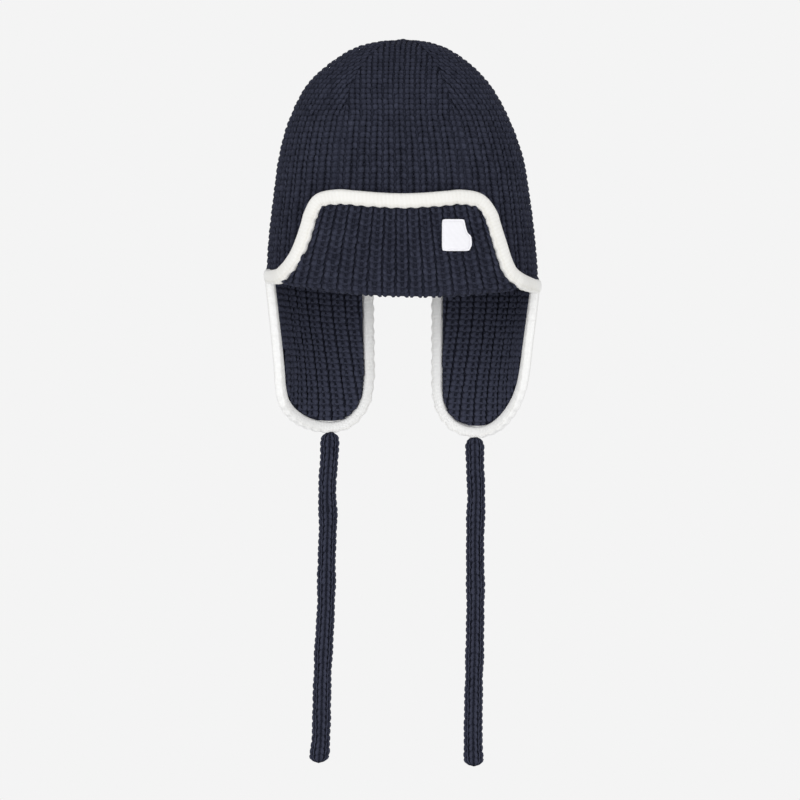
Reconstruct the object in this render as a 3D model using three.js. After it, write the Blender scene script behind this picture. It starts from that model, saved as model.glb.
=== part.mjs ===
import * as THREE from 'three';

// Earflap beanie in millimetres, shaped as on a head: +Z is up and the front faces -Y.
// The origin is the middle of the head opening at the height of the hem.
// Left and right are those of someone looking at the front: right is +X.

// Sizes of the crown and its knit
const crownHeight = 190;
const crownHalfWidth = 103;
const crownHalfDepth = 86;
const ovalPower = 2.25;
const knitWall = 5.5;
const ribRelief = 1.5;
const ribsPerQuarter = 16;
const ribsInHalfPanel = 5;
const decreaseHeight = 133;
const pieceGap = 0.3;
const crownRowCount = 15;
const crownInnerRowStep = 2;

// Heights of the crown's bottom edge at both sides and at the back
const leftHemHeight = 15.6;
const rightHemHeight = 8;
const backHemHeight = 9.2;
const hiddenHemRise = 2.2;

// Shares of the way round the oval, from the front middle, where the bottom edge changes
const hemTurns = { foldEnd: 0.11, hiddenStart: 0.165, hiddenEnd: 0.19, side: 0.25, backStart: 0.26, back: 0.45 };

// Sizes of the turned-up front flap and its rolled fold
const flapTopHeight = 65;
const flapTopDip = 2.6;
const foldLowHeight = -5.7;
const foldEndRise = 9.8;
const foldTilt = 2.1;
const foldCurvePower = 2.2;
const foldHalfDrop = 6.4;
const foldEndHalfDrop = 2.5;
const foldNarrowing = { from: 0.45, to: 0.93 };
const flapRibFan = 0.14;
const flapHalfSteps = 31;

// Sizes of the ear flaps
const leftEarBottom = -99.6;
const rightEarBottom = -103.4;
const earCornerRise = 30;
const earCornerPower = 2.2;
const earRibPitchAtBottom = 8.3;
const earFrontSetback = 8;
const earBackReach = 31;
const earBottomBulge = 9;
const earSwayStart = -0.35;
const earRowCount = 9;

// Sizes of the cream edge binding
const flapBindingWidth = 11;
const earBindingWidth = 7.4;
const bindingThickness = 8;
const bindingGap = 0.5;
const bindingSteps = 160;

// Half of the binding's section, as shares of its width and thickness
const bindingSection = [
  { wide: 0.50, thick: 0.25 },
  { wide: 0.28, thick: 0.50 },
  { wide: -0.28, thick: 0.50 },
  { wide: -0.50, thick: 0.25 },
];

// Where the binding passes from the flap to the ear flap: share of the way round the oval,
// offset from the crown's valleys and distance below the hem
const hemCornerRows = [
  { share: 0.205, offset: 1.5, below: 1.5 },
  { share: 0.222, offset: -1.5, below: 2.2 },
];

// Places along the flap's top, the ear flap's sides and bottom, and the back hem where the
// binding's line is set; the last ones are measured in from the ear flap
const bindingPlaces = {
  flapTop: [0, 0.3, 0.6, 0.85, 0.97],
  earSide: [0.16, 0.33, 0.5, 0.68, 0.85],
  earBottom: [0, 0.04, 0.12, 0.22, 0.34, 0.46, 0.58, 0.7, 0.8, 0.88, 0.96, 1],
  backHem: [0.012, 0.026, 0.04],
};

// Sizes of the ties and the label
const tieWidth = 13.4;
const tieThickness = 9;
const tieSides = 10;
const tieSteps = 18;
const labelWidth = 21;
const labelHeight = 24;
const labelAcross = 40;
const labelMidHeight = 41;
const labelThickness = 1.2;
const labelColumnCount = 6;
const labelRowCount = 3;

// The dome seen from the front: rise is a share of crownHeight, reach and lean of crownHalfWidth
const domeRows = [
  { rise: 0.00, reach: 1.000, lean: 0.000 },
  { rise: 0.15, reach: 0.988, lean: -0.004 },
  { rise: 0.27, reach: 0.966, lean: -0.006 },
  { rise: 0.39, reach: 0.938, lean: -0.007 },
  { rise: 0.51, reach: 0.905, lean: -0.011 },
  { rise: 0.63, reach: 0.845, lean: -0.020 },
  { rise: 0.75, reach: 0.750, lean: -0.027 },
  { rise: 0.83, reach: 0.658, lean: -0.029 },
  { rise: 0.91, reach: 0.502, lean: -0.021 },
  { rise: 0.96, reach: 0.358, lean: -0.016 },
  { rise: 0.988, reach: 0.210, lean: -0.008 },
  { rise: 1.00, reach: 0.000, lean: 0.004 },
];

// Side edges of the flap: climb is a share of its height, left and right of crownHalfWidth
const flapEdgeRows = [
  { climb: 0.00, left: 0.930, right: 0.910 },
  { climb: 0.06, left: 0.885, right: 0.850 },
  { climb: 0.15, left: 0.840, right: 0.790 },
  { climb: 0.29, left: 0.782, right: 0.735 },
  { climb: 0.46, left: 0.720, right: 0.690 },
  { climb: 0.66, left: 0.665, right: 0.650 },
  { climb: 0.86, left: 0.620, right: 0.601 },
  { climb: 1.00, left: 0.588, right: 0.560 },
];

// Where the bottom of each ear flap hangs: across in shares of crownHalfWidth, depth of
// crownHalfDepth, and the rise of its two round corners of earCornerRise
const earBottomEnds = {
  right: {
    frontAcross: 0.850, backAcross: 0.300, lowAcross: 0.550,
    frontDepth: 0.16, backDepth: 0.74, frontRise: 1.70, backRise: 0.97,
  },
  left: {
    frontAcross: 0.862, backAcross: 0.288, lowAcross: 0.535,
    frontDepth: 0.16, backDepth: 0.74, frontRise: 0.90, backRise: 1.20,
  },
};

// Routes of the two ties, from the binding to the free end
const tieRoutes = {
  left: [
    [-55.2, 53.3, -107.8], [-55.5, 53.3, -118], [-56.0, 53.3, -130], [-57.0, 53.0, -142],
    [-57.4, 52.4, -156], [-56.8, 51.8, -170], [-57.0, 51.4, -184], [-57.6, 51.2, -198],
    [-57.9, 51.4, -212], [-58.0, 51.8, -226], [-58.4, 52.4, -240], [-59.0, 53.0, -254],
    [-59.8, 53.6, -268], [-60.6, 54.0, -284], [-61.2, 54.2, -300], [-61.6, 54.4, -316],
    [-61.8, 54.4, -332], [-62.6, 54.2, -346], [-64.0, 53.8, -360.6],
  ],
  right: [
    [55.1, 53.3, -111.6], [55.2, 53.3, -122], [55.4, 53.3, -134], [56.0, 53.1, -148],
    [56.2, 52.6, -160], [55.8, 52.0, -172], [55.5, 51.6, -186], [55.4, 51.4, -200],
    [55.5, 51.6, -214], [55.7, 52.0, -228], [55.6, 52.6, -242], [55.4, 53.1, -256],
    [55.2, 53.5, -270], [54.8, 53.8, -286], [54.4, 54.0, -302], [54.1, 54.0, -318],
    [53.9, 53.8, -334], [54.0, 53.6, -350], [54.5, 53.4, -363.2],
  ],
};

const navy = new THREE.Color(0x2a2d3b);
const cream = new THREE.Color(0xf6f3e8);
const white = new THREE.Color(0xf4f4f8);

const lerp = THREE.MathUtils.lerp;
const clamp = THREE.MathUtils.clamp;
const smoothstep = THREE.MathUtils.smoothstep;

// Plan of the head opening, run from the front middle by way of the right side
class HeadOval extends THREE.Curve {
  getPoint(share, target = new THREE.Vector3()) {
    const turn = 2 * Math.PI * share;
    const bend = (value) => Math.sign(value) * Math.abs(value) ** (2 / ovalPower);
    return target.set(crownHalfWidth * bend(Math.sin(turn)), -crownHalfDepth * bend(Math.cos(turn)), 0);
  }
}

const headOval = new HeadOval();
headOval.arcLengthDivisions = 720;
const quarterLength = headOval.getLength() / 4;

function ovalAt(share) {
  const turn = share - Math.floor(share);
  const tangent = headOval.getTangentAt(turn);
  return { point: headOval.getPointAt(turn), outward: new THREE.Vector3(tangent.y, -tangent.x, 0) };
}

const domeCurve = new THREE.CatmullRomCurve3(
  domeRows.map((row) => new THREE.Vector3(
    row.reach * crownHalfWidth, row.lean * crownHalfWidth, row.rise * crownHeight)),
  false, 'centripetal');
domeCurve.arcLengthDivisions = 400;

// Finds the input between low and high where a rising function reaches a value
function solveRising(measure, value, low, high) {
  let under = low;
  let over = high;
  for (let step = 0; step < 28; step += 1) {
    const middle = (under + over) / 2;
    if (measure(middle) < value) under = middle;
    else over = middle;
  }
  return (under + over) / 2;
}

function climbAtHeight(height) {
  return solveRising((climb) => domeCurve.getPointAt(climb).z, height, 0, 1);
}

// A point on the dome: share runs round it, climb runs up it, and offset stands out from it
function domePoint(share, climb, offset) {
  const row = domeCurve.getPointAt(climb);
  const slope = domeCurve.getTangentAt(climb);
  const steep = Math.hypot(slope.x, slope.z);
  const { point, outward } = ovalAt(share);
  const reach = row.x / crownHalfWidth;
  return new THREE.Vector3(
    point.x * reach + row.y + outward.x * offset * (slope.z / steep),
    point.y * reach + outward.y * offset * (slope.z / steep),
    row.z - offset * (slope.x / steep));
}

// The same by height, carried straight down below the dome's lowest row
function wallPoint(share, height, offset) {
  const climb = climbAtHeight(Math.max(height, 0));
  const spot = domePoint(share, climb, offset);
  spot.z = height;
  return spot;
}

// Share of the way round where the wall at a height and offset lies at a distance across
function shareAcross(across, height, offset) {
  return solveRising((share) => wallPoint(share, height, offset).x, Math.abs(across), 0, 0.25);
}

// Collects the corners and faces of one closed solid, with corners that fall together made one
class Skin {
  constructor() {
    this.corners = [];
    this.faces = [];
    this.seen = new Map();
  }

  corner(spot) {
    const key = spot.toArray().map((value) => Math.round(value * 500)).join();
    if (!this.seen.has(key)) {
      this.seen.set(key, this.corners.length);
      this.corners.push(spot);
    }
    return this.seen.get(key);
  }

  triangle(first, second, third) {
    const face = [first, second, third].map((spot) => this.corner(spot));
    if (new Set(face).size === 3) this.faces.push(face);
  }

  quad(first, second, third, fourth) {
    this.triangle(first, second, third);
    this.triangle(first, third, fourth);
  }

  // Joins two rows of spots of the same length
  strip(lower, upper) {
    for (let index = 0; index + 1 < lower.length; index += 1) {
      this.quad(lower[index], lower[index + 1], upper[index + 1], upper[index]);
    }
  }

  geometry() {
    let volume = 0;
    for (const [first, second, third] of this.faces) {
      const cross = new THREE.Vector3().crossVectors(this.corners[second], this.corners[third]);
      volume += this.corners[first].dot(cross) / 6;
    }
    const faces = volume > 0 ? this.faces : this.faces.map(([a, b, c]) => [a, c, b]);
    const shape = new THREE.BufferGeometry();
    const numbers = this.corners.flatMap((spot) => spot.toArray());
    shape.setAttribute('position', new THREE.Float32BufferAttribute(numbers, 3));
    shape.setIndex(faces.flat());
    shape.computeVertexNormals();
    return shape;
  }
}

// Offsets from the crown's valleys to the faces of the flap
const flapInside = ribRelief + pieceGap;
const flapOutside = flapInside + knitWall;

// Turned-up flap: heights of its fold, hinge and top by how far across they lie
function foldHeight(across) {
  const reach = across / crownHalfWidth;
  return foldLowHeight + foldEndRise * Math.abs(reach) ** foldCurvePower - foldTilt * reach;
}

function foldDrop(across) {
  const reach = Math.abs(across) / crownHalfWidth;
  const narrowing = smoothstep(reach, foldNarrowing.from, foldNarrowing.to);
  return lerp(foldHalfDrop, foldEndHalfDrop, narrowing);
}

function hingeHeight(across) {
  return foldHeight(across) + foldDrop(across);
}

function flapTopAt(across) {
  const toCorner = clamp(Math.abs(across) / (flapEdgeRows.at(-1).left * crownHalfWidth), 0, 1);
  return flapTopHeight - flapTopDip * Math.cos(toCorner * Math.PI / 2) ** 2;
}

// Heights of the crown's bottom edge round the oval; share is negative on the left
function hemHeight(share) {
  const turn = share - Math.round(share);
  const round = Math.abs(turn);
  const sideHem = turn < 0 ? leftHemHeight : rightHemHeight;
  const front = hingeHeight(wallPoint(turn, 0, flapOutside).x) + pieceGap;
  const hidden = sideHem + hiddenHemRise * (1 - smoothstep(round, hemTurns.hiddenEnd, hemTurns.side));
  const side = lerp(front, hidden, smoothstep(round, hemTurns.foldEnd, hemTurns.hiddenStart));
  return lerp(side, backHemHeight, smoothstep(round, hemTurns.backStart, hemTurns.back));
}

// Place of a rib line between the middle of a panel (0) and the side (1), for a dome reach.
// Above decreaseHeight the ribs keep their width and run out on the decrease line.
const decreaseReach = domeCurve.getPointAt(climbAtHeight(decreaseHeight)).x;
const decreaseLine = ribsInHalfPanel / ribsPerQuarter;

function ribPlace(halfStep, reach) {
  const step = 0.5 / ribsPerQuarter * Math.max(1, decreaseReach / reach);
  const fromMiddle = halfStep * step;
  const fromSide = 1 - (2 * ribsPerQuarter - halfStep) * step;
  const inPanel = halfStep <= 2 * ribsInHalfPanel;
  const place = inPanel ? Math.min(fromMiddle, decreaseLine) : Math.max(fromSide, decreaseLine);
  const fullness = Math.min(1, Math.abs(place - decreaseLine) / step);
  return { place, relief: halfStep % 2 === 1 ? ribRelief * fullness : 0 };
}

function crownColumns() {
  const columns = [];
  const perQuarter = 2 * ribsPerQuarter;
  for (let index = 0; index < 4 * perQuarter; index += 1) {
    const quarter = Math.floor(index / perQuarter);
    const along = index % perQuarter;
    const halfStep = quarter % 2 === 0 ? along : perQuarter - along;
    const shareFor = [
      (place) => place / 4,
      (place) => 0.5 - place / 4,
      (place) => 0.5 + place / 4,
      (place) => 1 - place / 4,
    ][quarter];
    columns.push({ halfStep, shareFor });
  }
  return columns;
}

function crownShape() {
  const rowCount = crownRowCount;
  const skin = new Skin();
  const columns = crownColumns();
  const spotAt = (column, row, offset, withRelief) => {
    const reach = domeCurve.getPointAt(row / rowCount).x;
    const { place, relief } = ribPlace(column.halfStep, reach);
    const share = column.shareFor(place);
    const climb = lerp(climbAtHeight(hemHeight(share)), 1, row / rowCount);
    return domePoint(share, climb, offset + (withRelief ? relief : 0));
  };
  const around = (list, row, offset, withRelief) => {
    const ring = list.map((column) => spotAt(column, row, offset, withRelief));
    return [...ring, ring[0]];
  };

  const outerRings = [];
  for (let row = 0; row < rowCount; row += 1) outerRings.push(around(columns, row, 0, true));
  for (let row = 0; row + 1 < rowCount; row += 1) skin.strip(outerRings[row], outerRings[row + 1]);
  const top = domePoint(0, 1, 0);
  top.set(top.x, 0, crownHeight);
  const lastRing = outerRings.at(-1);
  for (let index = 0; index + 1 < lastRing.length; index += 1) {
    skin.triangle(lastRing[index], lastRing[index + 1], top);
  }

  const valleys = columns.filter((column) => column.halfStep % 2 === 0);
  const innerRings = [];
  for (let row = 0; row < rowCount; row += crownInnerRowStep) {
    innerRings.push(around(valleys, row, -knitWall, false));
  }
  for (let row = 0; row + 1 < innerRings.length; row += 1) skin.strip(innerRings[row + 1], innerRings[row]);
  const innerTop = top.clone().setZ(crownHeight - knitWall);
  const lastInner = innerRings.at(-1);
  for (let index = 0; index + 1 < lastInner.length; index += 1) {
    skin.triangle(lastInner[index + 1], lastInner[index], innerTop);
  }

  const outerRim = outerRings[0];
  const innerRim = innerRings[0];
  for (let rib = 0; rib + 1 < innerRim.length; rib += 1) {
    const [start, peak, end] = [0, 1, 2].map((step) => outerRim[2 * rib + step]);
    skin.triangle(innerRim[rib], peak, start);
    skin.triangle(innerRim[rib], innerRim[rib + 1], peak);
    skin.triangle(innerRim[rib + 1], end, peak);
  }
  return skin.geometry();
}

function flapHeight(across, climb) {
  return lerp(hingeHeight(across), flapTopAt(across), climb);
}

function flapEdgeShare(row, side) {
  const across = (side < 0 ? row.left : row.right) * crownHalfWidth;
  return shareAcross(across, flapHeight(side * across, row.climb), flapOutside);
}

function flapSpot(share, climb, offset) {
  const roughHeight = climb * flapTopHeight;
  const across = wallPoint(share, roughHeight, flapOutside).x;
  return wallPoint(share, flapHeight(across, climb), offset);
}

// One closed section of the flap: down the outer face, round the fold and up the inner face
function flapSection(halfStep, edges) {
  const side = Math.sign(halfStep) || 1;
  const step = 0.25 / (2 * ribsPerQuarter);
  const spread = Math.abs(halfStep) / flapHalfSteps;
  const outer = [];
  const inner = [];
  let hinge = null;
  flapEdgeRows.forEach((row, index) => {
    const edge = side < 0 ? edges.left[index] : edges.right[index];
    const free = Math.abs(halfStep) * step * (1 - flapRibFan * row.climb * spread);
    const share = Math.min(free, edge);
    const fullness = Math.min(1, (edge - share) / step);
    const relief = Math.abs(halfStep) % 2 === 1 ? ribRelief * fullness : 0;
    outer.push(flapSpot(side * share, row.climb, flapOutside + relief));
    inner.push(flapSpot(side * share, row.climb, flapInside));
    if (index === 0) hinge = { share: side * share, relief };
  });
  const middle = (flapOutside - knitWall) / 2;
  const reach = (flapOutside + knitWall) / 2;
  const level = outer[0].z;
  const drop = foldDrop(outer[0].x);
  const fold = [-45, -90, -135, -180].map((degrees) => {
    const turn = THREE.MathUtils.degToRad(degrees);
    const offset = middle + (reach + hinge.relief) * Math.cos(turn);
    const spot = wallPoint(hinge.share, level, offset);
    spot.z = level + (drop + hinge.relief) * Math.sin(turn);
    return spot;
  });
  return [...outer.reverse(), ...fold, ...inner];
}

function flapEdges() {
  return {
    left: flapEdgeRows.map((row) => flapEdgeShare(row, -1)),
    right: flapEdgeRows.map((row) => flapEdgeShare(row, 1)),
  };
}

function frontFlapShape(edges) {
  const skin = new Skin();
  const sections = [];
  for (let halfStep = -flapHalfSteps; halfStep <= flapHalfSteps; halfStep += 1) {
    const section = flapSection(halfStep, edges);
    sections.push([...section, section[0]]);
  }
  for (let index = 0; index + 1 < sections.length; index += 1) {
    skin.strip(sections[index], sections[index + 1]);
  }
  const rows = flapEdgeRows.length;
  for (const [section, turn] of [[sections[0], -1], [sections.at(-1), 1]]) {
    const outer = section.slice(0, rows);
    const fold = section.slice(rows - 1, rows + 4);
    const inner = section.slice(rows + 4, 2 * rows + 4).reverse();
    if (turn > 0) skin.strip(outer, inner);
    else skin.strip(inner, outer);
    const hub = inner.at(-1);
    for (let index = 0; index + 1 < fold.length; index += 1) {
      if (turn > 0) skin.triangle(fold[index], fold[index + 1], hub);
      else skin.triangle(fold[index + 1], fold[index], hub);
    }
  }
  return skin.geometry();
}

// Ear flap: place runs from its front edge (0) to its back edge (1), drop from the hem down
function earMeasures(side) {
  const ends = side < 0 ? earBottomEnds.left : earBottomEnds.right;
  const frontShare = 0.25 - earFrontSetback / (4 * quarterLength);
  const backShare = 0.5 - shareAcross(earBackReach, 0, -knitWall / 2);
  const front = new THREE.Vector3(
    side * ends.frontAcross * crownHalfWidth, ends.frontDepth * crownHalfDepth, 0);
  const back = new THREE.Vector3(
    side * ends.backAcross * crownHalfWidth, ends.backDepth * crownHalfDepth, 0);
  const chord = new THREE.Vector3().subVectors(back, front);
  const outward = new THREE.Vector3(side * chord.y, -side * chord.x, 0).normalize();
  const bend = new THREE.Vector3().addVectors(front, back).multiplyScalar(0.5);
  bend.addScaledVector(outward, 2 * earBottomBulge);
  const bottomCurve = new THREE.QuadraticBezierCurve3(front, bend, back);
  return {
    side,
    frontShare,
    backShare,
    bottomCurve,
    bottomHeight: side < 0 ? leftEarBottom : rightEarBottom,
    topWidth: (backShare - frontShare) * 4 * quarterLength,
    bottomWidth: bottomCurve.getLength(),
    frontCorner: { across: Math.abs(front.x), rise: ends.frontRise * earCornerRise },
    backCorner: { across: Math.abs(back.x), rise: ends.backRise * earCornerRise },
    lowAcross: ends.lowAcross * crownHalfWidth,
  };
}

function earSway(drop) {
  return smoothstep(drop, earSwayStart, 1);
}

function earMiddleSpot(ear, place, drop) {
  const share = ear.side * lerp(ear.frontShare, ear.backShare, place);
  const top = wallPoint(share, 0, -knitWall / 2);
  const rest = earSway(0);
  const sway = (earSway(drop) - rest) / (1 - rest);
  const spot = top.lerp(ear.bottomCurve.getPointAt(clamp(place, 0, 1)), sway);
  spot.z = lerp(hemHeight(share) - pieceGap, ear.bottomHeight, drop);
  return spot;
}

function earOutward(ear, place, drop) {
  const reachStep = 0.01;
  const low = earMiddleSpot(ear, clamp(place - reachStep, 0, 1), drop);
  const high = earMiddleSpot(ear, clamp(place + reachStep, 0, 1), drop);
  const along = high.sub(low).setZ(0).normalize();
  return new THREE.Vector3(ear.side * along.y, -ear.side * along.x, 0);
}

function earDropAtEnd(ear, place) {
  const across = Math.abs(ear.bottomCurve.getPointAt(place).x);
  const corner = across > ear.lowAcross ? ear.frontCorner : ear.backCorner;
  const toCorner = clamp((across - ear.lowAcross) / (corner.across - ear.lowAcross), 0, 1);
  const length = hemHeight(ear.side * 0.35) - ear.bottomHeight;
  return 1 - corner.rise / length * (1 - (1 - toCorner ** earCornerPower) ** (1 / earCornerPower));
}

function earFlapShape(ear) {
  const rowCount = earRowCount;
  const skin = new Skin();
  const topPitch = quarterLength / ribsPerQuarter;
  const halfSteps = Math.ceil(ear.topWidth / topPitch);
  const faces = { outer: [], inner: [] };
  for (let row = 0; row <= rowCount; row += 1) {
    const fall = row / rowCount;
    const width = lerp(ear.topWidth, ear.bottomWidth, fall);
    const step = lerp(topPitch, earRibPitchAtBottom, fall) / 2 / width;
    const outer = [];
    const inner = [];
    for (let halfStep = -halfSteps; halfStep <= halfSteps; halfStep += 1) {
      const place = clamp(0.5 + halfStep * step, 0, 1);
      const fullness = Math.min(1, Math.min(place, 1 - place) / step);
      const relief = Math.abs(halfStep) % 2 === 1 ? ribRelief * fullness : 0;
      const drop = fall * earDropAtEnd(ear, place);
      const middle = earMiddleSpot(ear, place, drop);
      const outward = earOutward(ear, place, drop);
      outer.push(middle.clone().addScaledVector(outward, knitWall / 2 + relief));
      inner.push(middle.clone().addScaledVector(outward, -knitWall / 2 - relief));
    }
    faces.outer.push(outer);
    faces.inner.push(inner);
  }
  for (let row = 0; row < rowCount; row += 1) {
    skin.strip(faces.outer[row], faces.outer[row + 1]);
    skin.strip(faces.inner[row + 1], faces.inner[row]);
    const [upperOut, lowerOut] = [faces.outer[row], faces.outer[row + 1]];
    const [upperIn, lowerIn] = [faces.inner[row], faces.inner[row + 1]];
    skin.quad(upperIn[0], upperOut[0], lowerOut[0], lowerIn[0]);
    skin.quad(upperOut.at(-1), upperIn.at(-1), lowerIn.at(-1), lowerOut.at(-1));
  }
  skin.strip(faces.inner[0], faces.outer[0]);
  skin.strip(faces.outer[rowCount], faces.inner[rowCount]);
  return skin.geometry();
}

// Moves the stations of a fabric edge out to the middle of the binding that covers it,
// further at a corner so that the binding keeps clear of it on both sides
function besideEdge(stations, sign) {
  return stations.map((station, index) => {
    const before = stations[Math.max(index - 1, 0)].spot;
    const after = stations[Math.min(index + 1, stations.length - 1)].spot;
    const coming = new THREE.Vector3().subVectors(station.spot, before).normalize();
    const going = new THREE.Vector3().subVectors(after, station.spot).normalize();
    const along = coming.add(going);
    const straightness = along.length() > 1 ? along.length() / 2 : 1;
    const across = new THREE.Vector3().crossVectors(station.outward, along).normalize();
    const away = sign * (station.width / 2 + bindingGap) / straightness;
    return { ...station, spot: station.spot.clone().addScaledVector(across, away) };
  });
}

function flapEdgeStations(edges, side) {
  const shares = side < 0 ? edges.left : edges.right;
  const middle = flapInside + bindingThickness / 2;
  const station = (share, climb) => ({
    spot: flapSpot(side * share, climb, middle),
    outward: ovalAt(side * share).outward,
    width: flapBindingWidth,
  });
  const corner = shares.at(-1);
  const topRow = bindingPlaces.flapTop.map((part) => station(part * corner, 1));
  const sideRow = flapEdgeRows.map((row, index) => station(shares[index], row.climb)).reverse();
  return [...topRow, ...sideRow];
}

function hemCornerStations(side) {
  const sideHem = side < 0 ? leftHemHeight : rightHemHeight;
  return hemCornerRows.map((row) => ({
    spot: wallPoint(side * row.share, sideHem - earBindingWidth / 2 - row.below, row.offset),
    outward: ovalAt(side * row.share).outward,
    width: lerp(flapBindingWidth, earBindingWidth, 0.5),
  }));
}

function earEdgeStations(ear) {
  const station = (place, drop) => ({
    spot: earMiddleSpot(ear, place, drop),
    outward: earOutward(ear, place, drop),
    width: earBindingWidth,
  });
  return [
    ...bindingPlaces.earSide.map((part) => station(0, part * earDropAtEnd(ear, 0))),
    ...bindingPlaces.earBottom.map((place) => station(place, earDropAtEnd(ear, place))),
    ...bindingPlaces.earSide.map((part) => station(1, part * earDropAtEnd(ear, 1))).reverse(),
  ];
}

function backHemStations(ears) {
  const backShare = ears.right.backShare;
  const rightShares = bindingPlaces.backHem.map((inset) => backShare + inset);
  const leftShares = rightShares.map((share) => 1 - share).reverse();
  return [...rightShares, 0.5, ...leftShares].map((share) => ({
    spot: wallPoint(share, hemHeight(share), -knitWall / 2),
    outward: ovalAt(share).outward,
    width: earBindingWidth,
  }));
}

function bindingStations(edges, ears) {
  const mirrorOrder = (stations) => [...stations].reverse();
  const flapRight = besideEdge(flapEdgeStations(edges, 1), 1);
  const flapLeft = besideEdge(mirrorOrder(flapEdgeStations(edges, -1)), 1);
  const earRight = besideEdge(earEdgeStations(ears.right), -1);
  const earLeft = besideEdge(mirrorOrder(earEdgeStations(ears.left)), -1);
  const back = besideEdge(backHemStations(ears), -1);
  return [
    ...flapRight, ...hemCornerStations(1), ...earRight, ...back,
    ...earLeft, ...mirrorOrder(hemCornerStations(-1)), ...flapLeft.slice(0, -1),
  ];
}

function edgeBindingShape(stations) {
  const route = new THREE.CatmullRomCurve3(stations.map((station) => station.spot), true, 'centripetal');
  route.arcLengthDivisions = 1200;
  const facing = new THREE.CatmullRomCurve3(stations.map((station) => station.outward), true);
  const widths = new THREE.CatmullRomCurve3(
    stations.map((station) => new THREE.Vector3(station.width, 0, 0)), true);
  const otherHalf = bindingSection.map(({ wide, thick }) => ({ wide: -wide, thick: -thick }));
  const section = [...bindingSection, ...otherHalf];
  const rings = [];
  for (let step = 0; step < bindingSteps; step += 1) {
    const input = route.getUtoTmapping(step / bindingSteps);
    const middle = route.getPoint(input);
    const along = route.getTangent(input);
    const outward = facing.getPoint(input);
    outward.addScaledVector(along, -outward.dot(along)).normalize();
    const across = new THREE.Vector3().crossVectors(outward, along);
    const width = widths.getPoint(input).x;
    const ring = section.map(({ wide, thick }) => middle.clone()
      .addScaledVector(across, wide * width)
      .addScaledVector(outward, thick * bindingThickness));
    rings.push([...ring, ring[0]]);
  }
  const skin = new Skin();
  rings.forEach((ring, index) => skin.strip(ring, rings[(index + 1) % rings.length]));
  return skin.geometry();
}

function tieShape(route) {
  const section = new THREE.Shape(Array.from({ length: tieSides }, (_, index) => {
    const turn = 2 * Math.PI * index / tieSides;
    return new THREE.Vector2(tieThickness / 2 * Math.cos(turn), tieWidth / 2 * Math.sin(turn));
  }));
  const path = new THREE.CatmullRomCurve3(route.map((spot) => new THREE.Vector3(...spot)));
  return new THREE.ExtrudeGeometry(section, { steps: tieSteps, extrudePath: path });
}

function labelShape() {
  const skin = new Skin();
  const face = (offset) => {
    const rows = [];
    for (let row = 0; row <= labelRowCount; row += 1) {
      const height = labelMidHeight + labelHeight * (row / labelRowCount - 0.5);
      const spots = [];
      for (let column = 0; column <= labelColumnCount; column += 1) {
        const across = labelAcross + labelWidth * (column / labelColumnCount - 0.5);
        spots.push(wallPoint(shareAcross(across, height, offset), height, offset));
      }
      rows.push(spots);
    }
    return rows;
  };
  const back = face(flapOutside + ribRelief + pieceGap);
  const front = face(flapOutside + ribRelief + pieceGap + labelThickness);
  for (let row = 0; row < labelRowCount; row += 1) {
    skin.strip(front[row], front[row + 1]);
    skin.strip(back[row + 1], back[row]);
    skin.quad(back[row][0], front[row][0], front[row + 1][0], back[row + 1][0]);
    skin.quad(front[row].at(-1), back[row].at(-1), back[row + 1].at(-1), front[row + 1].at(-1));
  }
  skin.strip(back[0], front[0]);
  skin.strip(front[labelRowCount], back[labelRowCount]);
  return skin.geometry();
}

function named(name, shape, color) {
  const mesh = new THREE.Mesh(shape, new THREE.MeshStandardMaterial({ color, roughness: 0.95, metalness: 0 }));
  mesh.name = name;
  return mesh;
}

const edges = flapEdges();
const ears = { left: earMeasures(-1), right: earMeasures(1) };

const beanie = new THREE.Group();
beanie.add(
  named('crown', crownShape(), navy),
  named('front_flap', frontFlapShape(edges), navy),
  named('ear_flap_left', earFlapShape(ears.left), navy),
  named('ear_flap_right', earFlapShape(ears.right), navy),
  named('edge_binding', edgeBindingShape(bindingStations(edges, ears)), cream),
  named('label', labelShape(), white),
  named('tie_left', tieShape(tieRoutes.left), navy),
  named('tie_right', tieShape(tieRoutes.right), navy),
);

export default beanie;
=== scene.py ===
import math

import bpy
import numpy as np
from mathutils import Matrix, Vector


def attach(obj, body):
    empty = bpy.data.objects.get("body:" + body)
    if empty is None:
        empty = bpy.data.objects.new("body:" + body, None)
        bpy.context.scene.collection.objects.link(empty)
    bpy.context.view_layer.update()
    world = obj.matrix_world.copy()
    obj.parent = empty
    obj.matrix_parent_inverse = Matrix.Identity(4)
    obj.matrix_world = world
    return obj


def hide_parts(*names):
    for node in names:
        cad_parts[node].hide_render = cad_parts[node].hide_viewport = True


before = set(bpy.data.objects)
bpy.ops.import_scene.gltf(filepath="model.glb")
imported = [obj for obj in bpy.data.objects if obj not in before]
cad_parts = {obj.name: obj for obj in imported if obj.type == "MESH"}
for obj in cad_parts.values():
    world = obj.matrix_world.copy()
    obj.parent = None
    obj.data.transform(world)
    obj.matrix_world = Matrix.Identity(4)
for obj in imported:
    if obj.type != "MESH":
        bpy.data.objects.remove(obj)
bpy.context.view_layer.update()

# The beanie is worked out in millimetres in the frame of the solids, and its meshes are made
# in metres. It hangs as on a head: +Z is up, the front faces -Y and right is +X.
MM = 0.001
SEED = 11

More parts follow.
